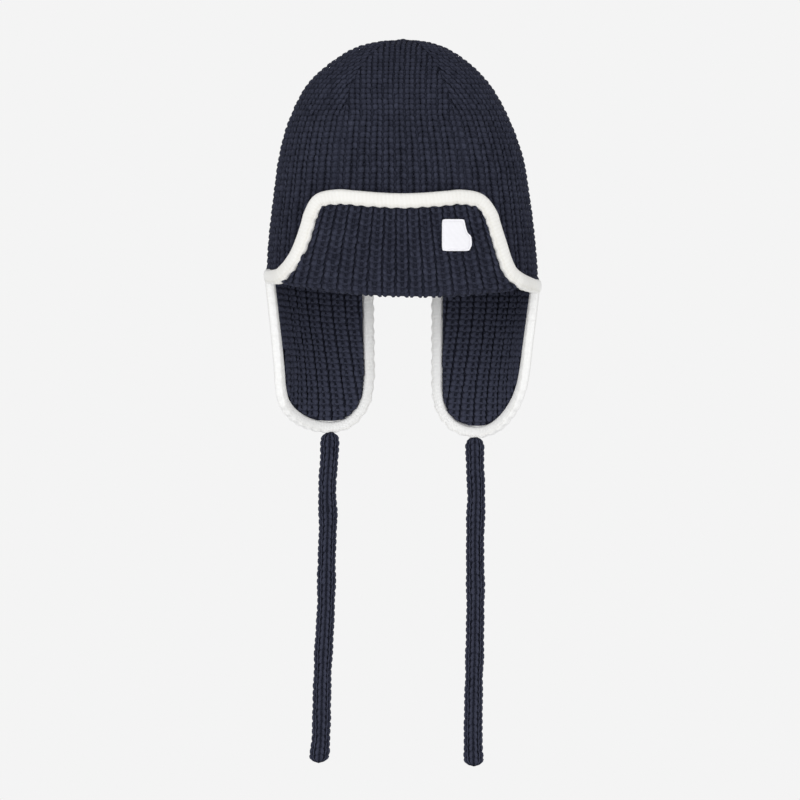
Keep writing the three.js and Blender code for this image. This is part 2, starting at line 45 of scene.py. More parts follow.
# Sizes of the crown and its knit
CROWN_HEIGHT = 190.0
CROWN_HALF_WIDTH = 103.0
CROWN_HALF_DEPTH = 86.0
OVAL_POWER = 2.25
KNIT_WALL = 5.5
RIB_RELIEF = 1.5
RIBS_PER_QUARTER = 13
RIBS_IN_HALF_PANEL = 5
MIDDLE_RIB_WIDTH = 0.865
WIDE_RIBS_FROM = 0.6
DECREASE_HEIGHT = 133.0
PIECE_GAP = 0.3
LEFT_HEM, RIGHT_HEM, BACK_HEM = 15.6, 8.0, 9.2
HEM_TURNS = {
    "fold_end": 0.11, "hidden_start": 0.165, "hidden_end": 0.19,
    "side": 0.25, "back_start": 0.26, "back": 0.45,
}

# Beside the fold the crown reaches down into the binding, which hides its edge
HIDDEN_HEM_DROP = 1.4

# Sizes of the turned-up front flap and its rolled fold
FLAP_TOP = 65.0
FLAP_TOP_DIP = 3.3
FOLD_LOW = -5.7
FOLD_END_RISE = 9.8
FOLD_TILT = 2.1
FOLD_CURVE_POWER = 2.2
FOLD_HALF_DROP, FOLD_END_HALF_DROP = 6.4, 2.5
FOLD_NARROWING = (0.45, 0.93)
FLAP_RIB_FAN = (0.16, 0.20)
FLAP_HALF_STEPS = 2 * RIBS_PER_QUARTER - 1
FLAP_INSIDE = RIB_RELIEF + PIECE_GAP
FLAP_OUTSIDE = FLAP_INSIDE + KNIT_WALL

# Sizes of the ear flaps
EAR_BOTTOM = {-1: -99.6, 1: -103.4}
EAR_CORNER_RISE = 30.0
EAR_CORNER_POWER = 2.2
EAR_RIB_WIDENING = 1.06
EAR_RIB_LEAN = 0.17
EAR_FRONT_SETBACK = 8.0
EAR_BACK_REACH = 31.0
EAR_BOTTOM_BULGE = 9.0
EAR_SWAY_START = -0.35

# Sizes of the binding, the ties and the label
FLAP_BINDING_WIDTH, EAR_BINDING_WIDTH = 10.4, 7.4
BINDING_THICKNESS, EAR_BINDING_THICKNESS = 8.0, 6.6
EAR_BINDING_SHIFT = 1.5
BINDING_GAP = 0.5
TIE_WIDTH, TIE_THICKNESS = 13.4, 9.0
LABEL_WIDTH, LABEL_HEIGHT = 21.0, 24.0
LABEL_ACROSS, LABEL_MID_HEIGHT = 40.0, 41.0

# Sizes of the stitches: a row is one stitch high, and each rib is a column of V-shaped stitches
ROW_PITCH = 4.6
TIE_ROW_PITCH = 5.0

# The dome from the front: rise is a share of its height, reach and lean of its half width
DOME_ROWS = [
    # rise, reach, lean
    (0.00, 1.000, 0.000),
    (0.15, 0.988, -0.004),
    (0.27, 0.966, -0.006),
    (0.39, 0.938, -0.007),
    (0.51, 0.905, -0.011),
    (0.63, 0.845, -0.020),
    (0.75, 0.750, -0.027),
    (0.83, 0.658, -0.029),
    (0.91, 0.502, -0.021),
    (0.96, 0.358, -0.016),
    (0.988, 0.210, -0.008),
    (1.00, 0.000, 0.004),
]

# Side edges of the flap: climb is a share of its height, left and right of the half width
FLAP_EDGE_ROWS = [
    # climb, left, right
    (0.00, 0.885, 0.855),
    (0.06, 0.850, 0.806),
    (0.12, 0.818, 0.770),
    (0.28, 0.750, 0.720),
    (0.46, 0.698, 0.683),
    (0.66, 0.654, 0.642),
    (0.86, 0.618, 0.602),
    (1.00, 0.596, 0.563),
]

# Where the bottom of each ear flap hangs, by side: across as shares of the half width, depth of
# the half depth, and the rise of its round corners as shares of EAR_CORNER_RISE
EAR_ENDS = {
    1: {
        "front_across": 0.850, "back_across": 0.300, "low_across": 0.550,
        "front_depth": 0.16, "back_depth": 0.74, "front_rise": 1.70, "back_rise": 0.97,
    },
    -1: {
        "front_across": 0.862, "back_across": 0.288, "low_across": 0.535,
        "front_depth": 0.16, "back_depth": 0.74, "front_rise": 0.90, "back_rise": 1.20,
    },
}

# Routes of the two ties in metres, from the binding to the free end
TIE_ROUTES = {
    "left": [
        (-0.0552, 0.0533, -0.1078), (-0.0555, 0.0533, -0.1180), (-0.0560, 0.0533, -0.1300),
        (-0.0570, 0.0530, -0.1420), (-0.0574, 0.0524, -0.1560), (-0.0568, 0.0518, -0.1700),
        (-0.0570, 0.0514, -0.1840), (-0.0576, 0.0512, -0.1980), (-0.0579, 0.0514, -0.2120),
        (-0.0580, 0.0518, -0.2260), (-0.0584, 0.0524, -0.2400), (-0.0590, 0.0530, -0.2540),
        (-0.0598, 0.0536, -0.2680), (-0.0606, 0.0540, -0.2840), (-0.0612, 0.0542, -0.3000),
        (-0.0616, 0.0544, -0.3160), (-0.0618, 0.0544, -0.3320), (-0.0626, 0.0542, -0.3460),
        (-0.0640, 0.0538, -0.3606),
    ],
    "right": [
        (0.0551, 0.0533, -0.1116), (0.0552, 0.0533, -0.1220), (0.0554, 0.0533, -0.1340),
        (0.0560, 0.0531, -0.1480), (0.0562, 0.0526, -0.1600), (0.0558, 0.0520, -0.1720),
        (0.0555, 0.0516, -0.1860), (0.0554, 0.0514, -0.2000), (0.0555, 0.0516, -0.2140),
        (0.0557, 0.0520, -0.2280), (0.0556, 0.0526, -0.2420), (0.0554, 0.0531, -0.2560),
        (0.0552, 0.0535, -0.2700), (0.0548, 0.0538, -0.2860), (0.0544, 0.0540, -0.3020),
        (0.0541, 0.0540, -0.3180), (0.0539, 0.0538, -0.3340), (0.0540, 0.0536, -0.3500),
        (0.0545, 0.0534, -0.3632),
    ],
}

rng = np.random.default_rng(SEED)


# Curves and blends

def smooth(value, low, high):
    part = np.clip((np.asarray(value, float) - low) / (high - low), 0, 1)
    return part * part * (3 - 2 * part)


def mix(first, second, part):
    return first + (second - first) * part


def catmull_rom(points, count, closed=False, steps=24):
    """Even steps along a smooth curve. Its place is in the first columns, up to three of them."""
    points = np.asarray(points, float)
    if closed:
        chain = np.vstack([points[-1:], points, points[:2]])
    else:
        before = 2 * points[:1] - points[1:2]
        after = 2 * points[-1:] - points[-2:-1]
        chain = np.vstack([before, points, after])
    spans = np.linalg.norm(np.diff(chain[:, :3], axis=0), axis=1) ** 0.5
    knots = np.concatenate([[0.0], np.cumsum(np.maximum(spans, 1e-6))])
    runs = []
    for index in range(1, len(chain) - 2):
        t0, t1, t2, t3 = knots[index - 1:index + 3]
        p0, p1, p2, p3 = chain[index - 1:index + 3]
        t = np.linspace(t1, t2, steps, endpoint=False)[:, None]
        a1 = mix(p0, p1, (t - t0) / (t1 - t0))
        a2 = mix(p1, p2, (t - t1) / (t2 - t1))
        a3 = mix(p2, p3, (t - t2) / (t3 - t2))
        b1 = mix(a1, a2, (t - t0) / (t2 - t0))
        b2 = mix(a2, a3, (t - t1) / (t3 - t1))
        runs.append(mix(b1, b2, (t - t1) / (t2 - t1)))
    path = np.vstack([*runs, chain[-2:-1]])
    return even_steps(path, count)


def even_steps(path, count):
    lengths = np.linalg.norm(np.diff(path[:, :3], axis=0), axis=1)
    run = np.concatenate([[0.0], np.cumsum(lengths)])
    at = np.linspace(0, run[-1], count)
    return np.column_stack([np.interp(at, run, column) for column in path.T])


def path_length(path):
    return float(np.linalg.norm(np.diff(path[:, :3], axis=0), axis=1).sum())


def solve_rising(measure, value, low, high, shape):
    """Where a rising function of many inputs at once reaches value."""
    under = np.full(shape, float(low))
    over = np.full(shape, float(high))
    for _ in range(26):
        middle = (under + over) / 2
        short = measure(middle) < value
        under = np.where(short, middle, under)
        over = np.where(short, over, middle)
    return (under + over) / 2


# The head's oval in plan, run from the front middle by way of the right side

OVAL_STEPS = 1440


def make_oval():
    turn = np.linspace(0, 2 * np.pi, 4 * OVAL_STEPS + 1)
    sine, cosine = np.sin(turn), np.cos(turn)
    x = CROWN_HALF_WIDTH * np.sign(sine) * np.abs(sine) ** (2 / OVAL_POWER)
    y = -CROWN_HALF_DEPTH * np.sign(cosine) * np.abs(cosine) ** (2 / OVAL_POWER)
    ring = even_steps(np.column_stack([x, y, 0 * x]), OVAL_STEPS + 1)[:, :2]
    along = np.roll(ring[:-1], -1, axis=0) - np.roll(ring[:-1], 1, axis=0)
    along /= np.linalg.norm(along, axis=1)[:, None]
    outward = np.column_stack([along[:, 1], -along[:, 0]])
    return np.column_stack([ring, np.vstack([outward, outward[:1]])])


OVAL = make_oval()
OVAL_SHARES = np.linspace(0, 1, OVAL_STEPS + 1)
QUARTER = path_length(np.column_stack([OVAL[:, :2], np.zeros(OVAL_STEPS + 1)])) / 4
RIB_PITCH = QUARTER / RIBS_PER_QUARTER


def oval(share):
    turn = np.mod(share, 1.0)
    return [np.interp(turn, OVAL_SHARES, column) for column in OVAL.T]


# The dome, by how far up its side a point lies

DOME_STEPS = 800
DOME = catmull_rom(
    [(reach * CROWN_HALF_WIDTH, lean * CROWN_HALF_WIDTH, rise * CROWN_HEIGHT)
     for rise, reach, lean in DOME_ROWS], DOME_STEPS + 1, steps=60)
DOME_LENGTH = path_length(DOME)
DOME_CLIMBS = np.linspace(0, 1, DOME_STEPS + 1)
DOME_SLOPES = np.gradient(DOME, axis=0)[:, [0, 2]]
DOME_SLOPES /= np.linalg.norm(DOME_SLOPES, axis=1)[:, None]
DOME_TABLE = np.column_stack([DOME, DOME_SLOPES])


def dome(climb):
    return [np.interp(climb, DOME_CLIMBS, column) for column in DOME_TABLE.T]


def climb_at_height(height):
    return np.interp(height, DOME[:, 2], DOME_CLIMBS)


def dome_spot(share, climb, offset):
    """A point on the dome, offset outwards from the valleys between its ribs."""
    x, y, out_x, out_y = oval(share)
    reach, lean, height, slope_x, slope_z = dome(climb)
    ratio = reach / CROWN_HALF_WIDTH
    return np.stack(np.broadcast_arrays(
        x * ratio + lean + out_x * offset * slope_z,
        y * ratio + out_y * offset * slope_z,
        height - offset * slope_x), axis=-1)


def wall_spot(share, height, offset):
    """The same by height, carried straight down below the dome's lowest row."""
    spot = dome_spot(share, climb_at_height(np.maximum(height, 0)), offset)
    spot[..., 2] = height
    return spot


def share_across(across, height, offset):
    across = np.asarray(across, float)
    return solve_rising(
        lambda share: wall_spot(share, height, offset)[..., 0],
        np.abs(across), 0, 0.25, across.shape)


# Heights of the flap and of the crown's bottom edge

def fold_height(across):
    reach = across / CROWN_HALF_WIDTH
    return FOLD_LOW + FOLD_END_RISE * np.abs(reach) ** FOLD_CURVE_POWER - FOLD_TILT * reach


def fold_drop(across):
    narrowing = smooth(np.abs(across) / CROWN_HALF_WIDTH, *FOLD_NARROWING)
    return mix(FOLD_HALF_DROP, FOLD_END_HALF_DROP, narrowing)


def hinge_height(across):
    return fold_height(across) + fold_drop(across)


def flap_top_height(across):
    corner = FLAP_EDGE_ROWS[-1][1] * CROWN_HALF_WIDTH
    to_corner = np.clip(np.abs(across) / corner, 0, 1)
    return FLAP_TOP - FLAP_TOP_DIP * np.cos(to_corner * np.pi / 2) ** 2


def hem_height(share):
    share = np.asarray(share, float)
    turn = share - np.round(share)
    away = np.abs(turn)
    side_hem = np.where(turn < 0, LEFT_HEM, RIGHT_HEM)
    front = hinge_height(wall_spot(turn, np.zeros_like(turn), FLAP_OUTSIDE)[..., 0]) + PIECE_GAP
    rise = 1 - smooth(away, HEM_TURNS["hidden_end"], HEM_TURNS["side"])
    hidden = side_hem - HIDDEN_HEM_DROP * rise
    side = mix(front, hidden, smooth(away, HEM_TURNS["fold_end"], HEM_TURNS["hidden_start"]))
    return mix(side, BACK_HEM, smooth(away, HEM_TURNS["back_start"], HEM_TURNS["back"]))


HEM_CLIMBS = climb_at_height(hem_height(OVAL_SHARES))


def hem_climb(share):
    return np.interp(np.mod(share, 1.0), OVAL_SHARES, HEM_CLIMBS)


# Ribs of the crown: half_step counts half ribs from the middle of a panel to the side

DECREASE_REACH = np.interp(climb_at_height(DECREASE_HEIGHT), DOME_CLIMBS, DOME[:, 0])
DECREASE_LINE = RIBS_IN_HALF_PANEL / RIBS_PER_QUARTER
QUARTER_BASES = np.array([0.0, 0.5, 0.5, 1.0])
QUARTER_SIGNS = np.array([1.0, -1.0, 1.0, -1.0])
LEAST_REACH = 2.0


def rib_spread(place):
    """Where a rib lies in its quarter, from 0 to 1: those near the middle are narrower."""
    part = np.clip(place / WIDE_RIBS_FROM, 0, 1)
    widened = WIDE_RIBS_FROM * (part ** 3 - part ** 4 / 2) + np.maximum(place - WIDE_RIBS_FROM, 0)
    growth = (1 - MIDDLE_RIB_WIDTH) / (1 - WIDE_RIBS_FROM / 2)
    return MIDDLE_RIB_WIDTH * place + growth * widened


def rib_share_at_hem(half_step):
    """Share of the way round to a half step counted from the front middle to the back."""
    place = half_step / (2 * RIBS_PER_QUARTER)
    return np.where(place < 1, rib_spread(place), 2 - rib_spread(2 - place)) / 4


def rib_place(half_step, reach):
    step = 0.5 / RIBS_PER_QUARTER * np.maximum(1, DECREASE_REACH / np.maximum(reach, LEAST_REACH))
    from_middle = half_step * step
    from_side = 1 - (2 * RIBS_PER_QUARTER - half_step) * step
    in_panel = half_step <= 2 * RIBS_IN_HALF_PANEL
    return np.where(in_panel, from_middle, from_side), in_panel, step


def crown_share(quarter, place):
    return QUARTER_BASES[quarter] + QUARTER_SIGNS[quarter] * rib_spread(place) / 4


def crown_spot(quarter, half_step, across, along, out):
    """A point beside a rib: across and out from it, and along the dome from its lowest row."""
    climb = np.clip(along / DOME_LENGTH, 0, 1)
    reach = dome(climb)[0]
    place, in_panel, _ = rib_place(half_step, reach)
    width = QUARTER * np.maximum(reach, LEAST_REACH) / CROWN_HALF_WIDTH
    place = place + across / width
    place = np.where(in_panel, np.minimum(place, DECREASE_LINE), np.maximum(place, DECREASE_LINE))
    share = crown_share(quarter, place)
    climb = np.maximum(climb, hem_climb(share))
    return dome_spot(share, climb, out)


# The flap, by share round the oval and fall from its top edge, over the face and round the fold

FOLD_MIDDLE = (FLAP_OUTSIDE - KNIT_WALL) / 2
FOLD_REACH = (FLAP_OUTSIDE + KNIT_WALL) / 2
LEAST_FOLD = 0.3


def flap_across(share, height=0.0):
    share = np.asarray(share, float)
    return wall_spot(share, np.full(share.shape, height), FLAP_OUTSIDE)[..., 0]


def flap_face_length(share):
    across = flap_across(share, FLAP_TOP / 2)
    return flap_top_height(across) - hinge_height(flap_across(share))


def flap_fold_length(share):
    drop = fold_drop(flap_across(share))
    return np.pi * np.sqrt((FOLD_REACH ** 2 + drop ** 2) / 2)


def flap_height(share, climb):
    rough = wall_spot(share, climb * FLAP_TOP, FLAP_OUTSIDE)[..., 0]
    return mix(hinge_height(rough), flap_top_height(rough), climb)


def flap_spot(share, fall, out):
    share, fall, out = np.broadcast_arrays(share, fall, out)
    face = flap_face_length(share)
    climb = np.clip(1 - fall / face, 0, None)
    on_face = wall_spot(share, flap_height(share, climb), FLAP_OUTSIDE + out)
    across = flap_across(share)
    level = hinge_height(across)
    turn = -np.pi * np.clip((fall - face) / flap_fold_length(share), 0, 1)
    reach = np.maximum(FOLD_REACH + out, LEAST_FOLD)
    drop = np.maximum(fold_drop(across) + out, LEAST_FOLD)
    on_fold = wall_spot(share, level, FOLD_MIDDLE + reach * np.cos(turn))
    on_fold[..., 2] = level + drop * np.sin(turn)
    return np.where((fall < face)[..., None], on_face, on_fold)


def make_flap_edges():
    """Share of the way round where each side edge lies, by climb."""
    tables = {}
    for side, column in ((-1, 1), (1, 2)):
        rows = []
        for row in FLAP_EDGE_ROWS:
            across = row[column] * CROWN_HALF_WIDTH
            height = mix(hinge_height(side * across), flap_top_height(across), row[0])
            rows.append((row[0], float(share_across(np.array(across), height, FLAP_OUTSIDE)) * 4))
        tables[side] = catmull_rom(rows, 200)
    return tables


FLAP_EDGES = make_flap_edges()


def flap_edge(side, climb):
    """Largest share from the front middle at a climb, for one side or an array of sides."""
    left = np.interp(climb, FLAP_EDGES[-1][:, 0], FLAP_EDGES[-1][:, 1]) / 4
    right = np.interp(climb, FLAP_EDGES[1][:, 0], FLAP_EDGES[1][:, 1]) / 4
    return np.where(np.asarray(side) < 0, left, right)


# The ear flaps: place runs from the front edge to the back edge, drop from the hem down

class EarFlap:
    def __init__(self, side):
        ends = EAR_ENDS[side]
        self.side = side
        self.front_share = 0.25 - EAR_FRONT_SETBACK / (4 * QUARTER)
        back = float(share_across(np.array(EAR_BACK_REACH), 0.0, -KNIT_WALL / 2))
        self.back_share = 0.5 - back
        front = np.array([side * ends["front_across"] * CROWN_HALF_WIDTH,
                          ends["front_depth"] * CROWN_HALF_DEPTH])
        rear = np.array([side * ends["back_across"] * CROWN_HALF_WIDTH,
                         ends["back_depth"] * CROWN_HALF_DEPTH])
        chord = rear - front
        outward = np.array([side * chord[1], -side * chord[0]]) / np.linalg.norm(chord)
        bend = (front + rear) / 2 + 2 * EAR_BOTTOM_BULGE * outward
        t = np.linspace(0, 1, 241)[:, None]
        curve = (1 - t) ** 2 * front + 2 * t * (1 - t) * bend + t ** 2 * rear
        self.bottom = even_steps(np.column_stack([curve, 0 * t]), 241)
        self.bottom_height = EAR_BOTTOM[side]
        self.top_width = (self.back_share - self.front_share) * 4 * QUARTER
        self.bottom_width = path_length(self.bottom)
        self.front_corner = (abs(front[0]), ends["front_rise"] * EAR_CORNER_RISE)
        self.back_corner = (abs(rear[0]), ends["back_rise"] * EAR_CORNER_RISE)
        self.low_across = ends["low_across"] * CROWN_HALF_WIDTH
        self.length = float(hem_height(side * 0.35)) - self.bottom_height

    def bottom_spot(self, place):
        at = np.linspace(0, 1, len(self.bottom))
        return [np.interp(place, at, column) for column in self.bottom.T[:2]]

    def middle_spot(self, place, drop):
        share = self.side * mix(self.front_share, self.back_share, place)
        top = wall_spot(share, np.zeros_like(share), -KNIT_WALL / 2)
        rest = smooth(0, EAR_SWAY_START, 1)
        sway = (smooth(drop, EAR_SWAY_START, 1) - rest) / (1 - rest)
        low_x, low_y = self.bottom_spot(np.clip(place, 0, 1))
        height = mix(hem_height(share) - PIECE_GAP, self.bottom_height, drop)
        return np.stack([mix(top[..., 0], low_x, sway), mix(top[..., 1], low_y, sway), height], axis=-1)

    def outward(self, place, drop):
        step = 0.01
        low = self.middle_spot(np.clip(place - step, 0, 1), drop)
        high = self.middle_spot(np.clip(place + step, 0, 1), drop)
        along = (high - low)[..., :2]
        along = along / np.linalg.norm(along, axis=-1)[..., None]
        return np.stack([self.side * along[..., 1], -self.side * along[..., 0],
                         np.zeros(along.shape[:-1])], axis=-1)

    def end_drop(self, place):
        across = np.abs(self.bottom_spot(place)[0])
        ahead = across > self.low_across
        corner = np.where(ahead, self.front_corner[0], self.back_corner[0])
        rise = np.where(ahead, self.front_corner[1], self.back_corner[1])
        reach = np.clip((across - self.low_across) / (corner - self.low_across), 0, 1)
        round_end = (1 - reach ** EAR_CORNER_POWER) ** (1 / EAR_CORNER_POWER)
        return 1 - rise / self.length * (1 - round_end)

    def spot(self, place, drop, out):
        place, drop, out = np.broadcast_arrays(place, drop, out)
        middle = self.middle_spot(place, drop)
        return middle + self.outward(place, drop) * out[..., None]


EARS = {side: EarFlap(side) for side in (-1, 1)}


# Meshes

class Cloth:
    """Collects the faces of one piece. A corner has a tone, and a face's corners have a map."""

    def __init__(self):
        self.count = 0
        self.spots, self.tones = [], []
        self.faces = {3: [], 4: []}
        self.maps = {3: [], 4: []}
        self.slots = {3: [], 4: []}

    def add(self, spots, tones, faces, maps, slot=0):
        self.spots.append(spots.reshape(-1, 3))
        self.tones.append(np.broadcast_to(tones, spots.shape[:-1]).reshape(-1))
        for sides in (3, 4):
            if sides in faces and len(faces[sides]):
                self.faces[sides].append(faces[sides] + self.count)
                self.maps[sides].append(maps[sides])
                self.slots[sides].append(np.full(len(faces[sides]), slot))
        self.count += self.spots[-1].shape[0]

    def add_strands(self, strand, spots, tones, slot=0):
        """Copies of one kind of strand, each given by the places of all its corners."""
        count = len(spots)
        offsets = (np.arange(count) * spots.shape[1])[:, None, None]
        inside_out = strand_volumes(strand, spots) < 0
        faces = {}
        maps = {}
        for size in (3, 4):
            copies = strand.faces[size][None] + offsets
            copies[inside_out] = copies[inside_out][:, :, ::-1]
            faces[size] = copies.reshape(-1, size)
            repeated = np.repeat(strand.maps[size][None], count, axis=0)
            repeated[inside_out] = repeated[inside_out][:, :, ::-1]
            maps[size] = repeated.reshape(-1, size, 2)
        self.add(spots, tones, faces, maps, slot)

    def add_grid(self, grid, tones, grid_map, closed=(False, False), flip=False, slot=0):
        """A sheet of corners in rows and columns. grid_map gives each corner's map."""
        rows, columns = grid.shape[:2]
        row = np.arange(rows if closed[0] else rows - 1)
        column = np.arange(columns if closed[1] else columns - 1)
        row, column = np.meshgrid(row, column, indexing="ij")
        row, column = row.ravel(), column.ravel()
        next_row, next_column = (row + 1) % rows, (column + 1) % columns
        corners = [(row, column), (row, next_column), (next_row, next_column), (next_row, column)]
        if flip:
            corners = corners[::-1]
        quads = np.column_stack([r * columns + c for r, c in corners])
        maps = np.stack([grid_map[r, c] for r, c in corners], axis=1)
        self.add(grid, tones, {4: quads}, {4: maps}, slot)

    def make(self, name, materials):
        spots = np.vstack(self.spots) * MM
        used = [sides for sides in (4, 3) if self.faces[sides]]
        faces = {sides: np.vstack(self.faces[sides]) for sides in used}
        loops = np.concatenate([faces[sides].ravel() for sides in used])
        sizes = np.concatenate([np.full(len(faces[sides]), sides) for sides in used])
        starts = np.concatenate([[0], np.cumsum(sizes)[:-1]])
        mesh = bpy.data.meshes.new(name)
        mesh.vertices.add(len(spots))
        mesh.vertices.foreach_set("co", spots.astype(np.float32).ravel())
        mesh.loops.add(len(loops))
        mesh.loops.foreach_set("vertex_index", loops.astype(np.int32))
        mesh.polygons.add(len(sizes))
        mesh.polygons.foreach_set("loop_start", starts.astype(np.int32))
        mesh.polygons.foreach_set("loop_total", sizes.astype(np.int32))
        slots = np.concatenate([np.concatenate(self.slots[sides]) for sides in used])
        mesh.polygons.foreach_set("material_index", slots.astype(np.int32))
        mesh.polygons.foreach_set("use_smooth", np.ones(len(sizes), bool))
        layer = mesh.uv_layers.new(name="yarn")
        maps = np.concatenate([np.concatenate(self.maps[sides]).reshape(-1, 2) for sides in used])
        layer.data.foreach_set("uv", maps.astype(np.float32).ravel())
        tone = mesh.attributes.new("tone", "FLOAT", "POINT")
        tone.data.foreach_set("value", np.concatenate(self.tones).astype(np.float32))
        mesh.update(calc_edges=True)
        mesh.validate()
        for material in materials:
            mesh.materials.append(material)
        piece = bpy.data.objects.new(name, mesh)
        bpy.context.collection.objects.link(piece)
        return piece


class Strand:
    """A closed piece of yarn: rings of corners between two tips, by part of its length."""

    def __init__(self, rings, sides=6, roundness=0.42):
        self.parts = np.array([0.0, *np.repeat(rings, sides), 1.0])
        turns = 2 * np.pi * (np.arange(sides) + 0.5) / sides
        self.turns = np.array([0.0, *np.tile(turns, len(rings)), 0.0])
        self.fullness = np.sin(np.pi * self.parts) ** roundness
        ring = np.arange(sides)
        after = (ring + 1) % sides
        bands = []
        band_maps = []
        for index, (low, high) in enumerate(zip(rings, rings[1:])):
            base = 1 + index * sides
            bands.append(np.column_stack([base + ring, base + after, base + sides + after,
                                          base + sides + ring]))
            band_maps += [[(k, low), (k + 1, low), (k + 1, high), (k, high)] for k in ring]
        last = 1 + (len(rings) - 1) * sides
        tip = last + sides
        caps = [np.column_stack([0 * ring, 1 + after, 1 + ring]),
                np.column_stack([0 * ring + tip, last + ring, last + after])]
        cap_maps = [[(k, 0), (k + 1, rings[0]), (k, rings[0])] for k in ring]
        cap_maps += [[(k, 1), (k, rings[-1]), (k + 1, rings[-1])] for k in ring]
        self.faces = {3: np.vstack(caps), 4: np.vstack(bands)}
        per_turn = np.array([1 / sides, 1])
        self.maps = {3: np.array(cap_maps, float) * per_turn, 4: np.array(band_maps, float) * per_turn}


def strand_volumes(strand, spots):
    """Signed volume of each strand, which shows whether its faces point inwards."""
    centred = spots - spots.mean(axis=1, keepdims=True)
    bands = strand.faces[4]
    halves = np.vstack([strand.faces[3], bands[:, [0, 1, 2]], bands[:, [0, 2, 3]]])
    a, b, c = (centred[:, halves[:, k]] for k in range(3))
    return np.einsum("ijk,ijk->i", a, np.cross(b, c))


# One leg of a V-shaped stitch, across and out from its rib and along it, in rib and row pitches

LEG = Strand((0.10, 0.37, 0.63, 0.90))
LEG_ACROSS = (0.155, 0.345)
LEG_ALONG = (-0.32, 1.08)
LEG_HALF_WIDTH = 0.20
LEG_HALF_THICKNESS = 0.108
LEG_LEVEL = -1.8
LEG_ARCH = 1.7
LEG_TUCK = 1.2
JITTER = 0.09

# The bars of yarn that cross the valleys between ribs, one in each row

BAR = Strand((0.24, 0.76))
BAR_REACH = 0.27
BAR_HALF_HEIGHT = 0.30
BAR_HALF_THICKNESS = 0.08
BAR_LEVEL = -2.0
# Painted shade: a strand's tone falls from TONE_TOP to nothing as its corners lie deeper in the knit, over
# these depths in mm
TONE_RANGE = (-3.6, 0.7)
TONE_TOP = 0.66
RAISED_BARS = 0.6


# Painted shade by depth into the knit, times a random unevenness of each strand
def depth_shade_and_uneven_tones(out, count):
    return TONE_TOP * smooth(out, *TONE_RANGE) * (1 + 0.12 * rng.standard_normal((count, 1)))


def stitch_legs(sides, rib_pitch, row_pitch):
    """Coordinates beside the rib of every corner of every leg, and the tone of each corner: painted shade by
    depth, with random unevenness.
    """
    count = len(sides)
    t = LEG.parts[None]
    wobble = 1 + JITTER * rng.standard_normal((4, count, 1))
    start, end = LEG_ACROSS
    low, high = LEG_ALONG
    across = rib_pitch * wobble[0] * mix(start, end, t)
    along = row_pitch * (mix(low, high, t) + 0.6 * (wobble[1] - 1))
    lean_across, lean_along = rib_pitch * (end - start), row_pitch * (high - low)
    size = math.hypot(lean_across, lean_along)
    beside = rib_pitch * LEG_HALF_WIDTH * wobble[2] * LEG.fullness * np.cos(LEG.turns)
    across = across + beside * lean_along / size
    along = along - beside * lean_across / size
    arch = LEG_ARCH * np.cos(np.pi * np.clip(across / rib_pitch, 0, 0.5))
    half_thickness = rib_pitch * LEG_HALF_THICKNESS * wobble[3] * LEG.fullness
    out = LEG_LEVEL + arch - LEG_TUCK * np.abs(2 * t - 1) ** 3 + half_thickness * np.sin(LEG.turns)
    return across * sides[:, None], along, out, depth_shade_and_uneven_tones(out, count)


def valley_bars(count, rib_pitch, row_pitch, raised=0.0):
    """The same for the bars, beside the middle of their valley."""
    wobble = 1 + JITTER * rng.standard_normal((3, count, 1))
    across = rib_pitch * BAR_REACH * (2 * BAR.parts[None] - 1) * wobble[0]
    height = row_pitch * BAR_HALF_HEIGHT * wobble[1] * BAR.fullness
    along = height * np.cos(BAR.turns)
    thickness = rib_pitch * BAR_HALF_THICKNESS * wobble[2] * BAR.fullness
    out = BAR_LEVEL + raised + thickness * np.sin(BAR.turns)
    return across, along, out, depth_shade_and_uneven_tones(out, count)


# Materials

def colour_mix(nodes, links, dark, light, factor):
    blend = nodes.new("ShaderNodeMix")
    blend.data_type = "RGBA"
    blend.inputs["A"].default_value = (*dark, 1)
    blend.inputs["B"].default_value = (*light, 1)
    links.new(factor, blend.inputs["Factor"])
    return blend.outputs["Result"]


def maths(nodes, links, operation, first, second=None):
    node = nodes.new("ShaderNodeMath")
    node.operation = operation
    for socket, value in zip(node.inputs, (first, second)):
        if value is None:
            continue
        if isinstance(value, (int, float)):
            socket.default_value = value
        else:
            links.new(value, socket)
    return node.outputs["Value"]


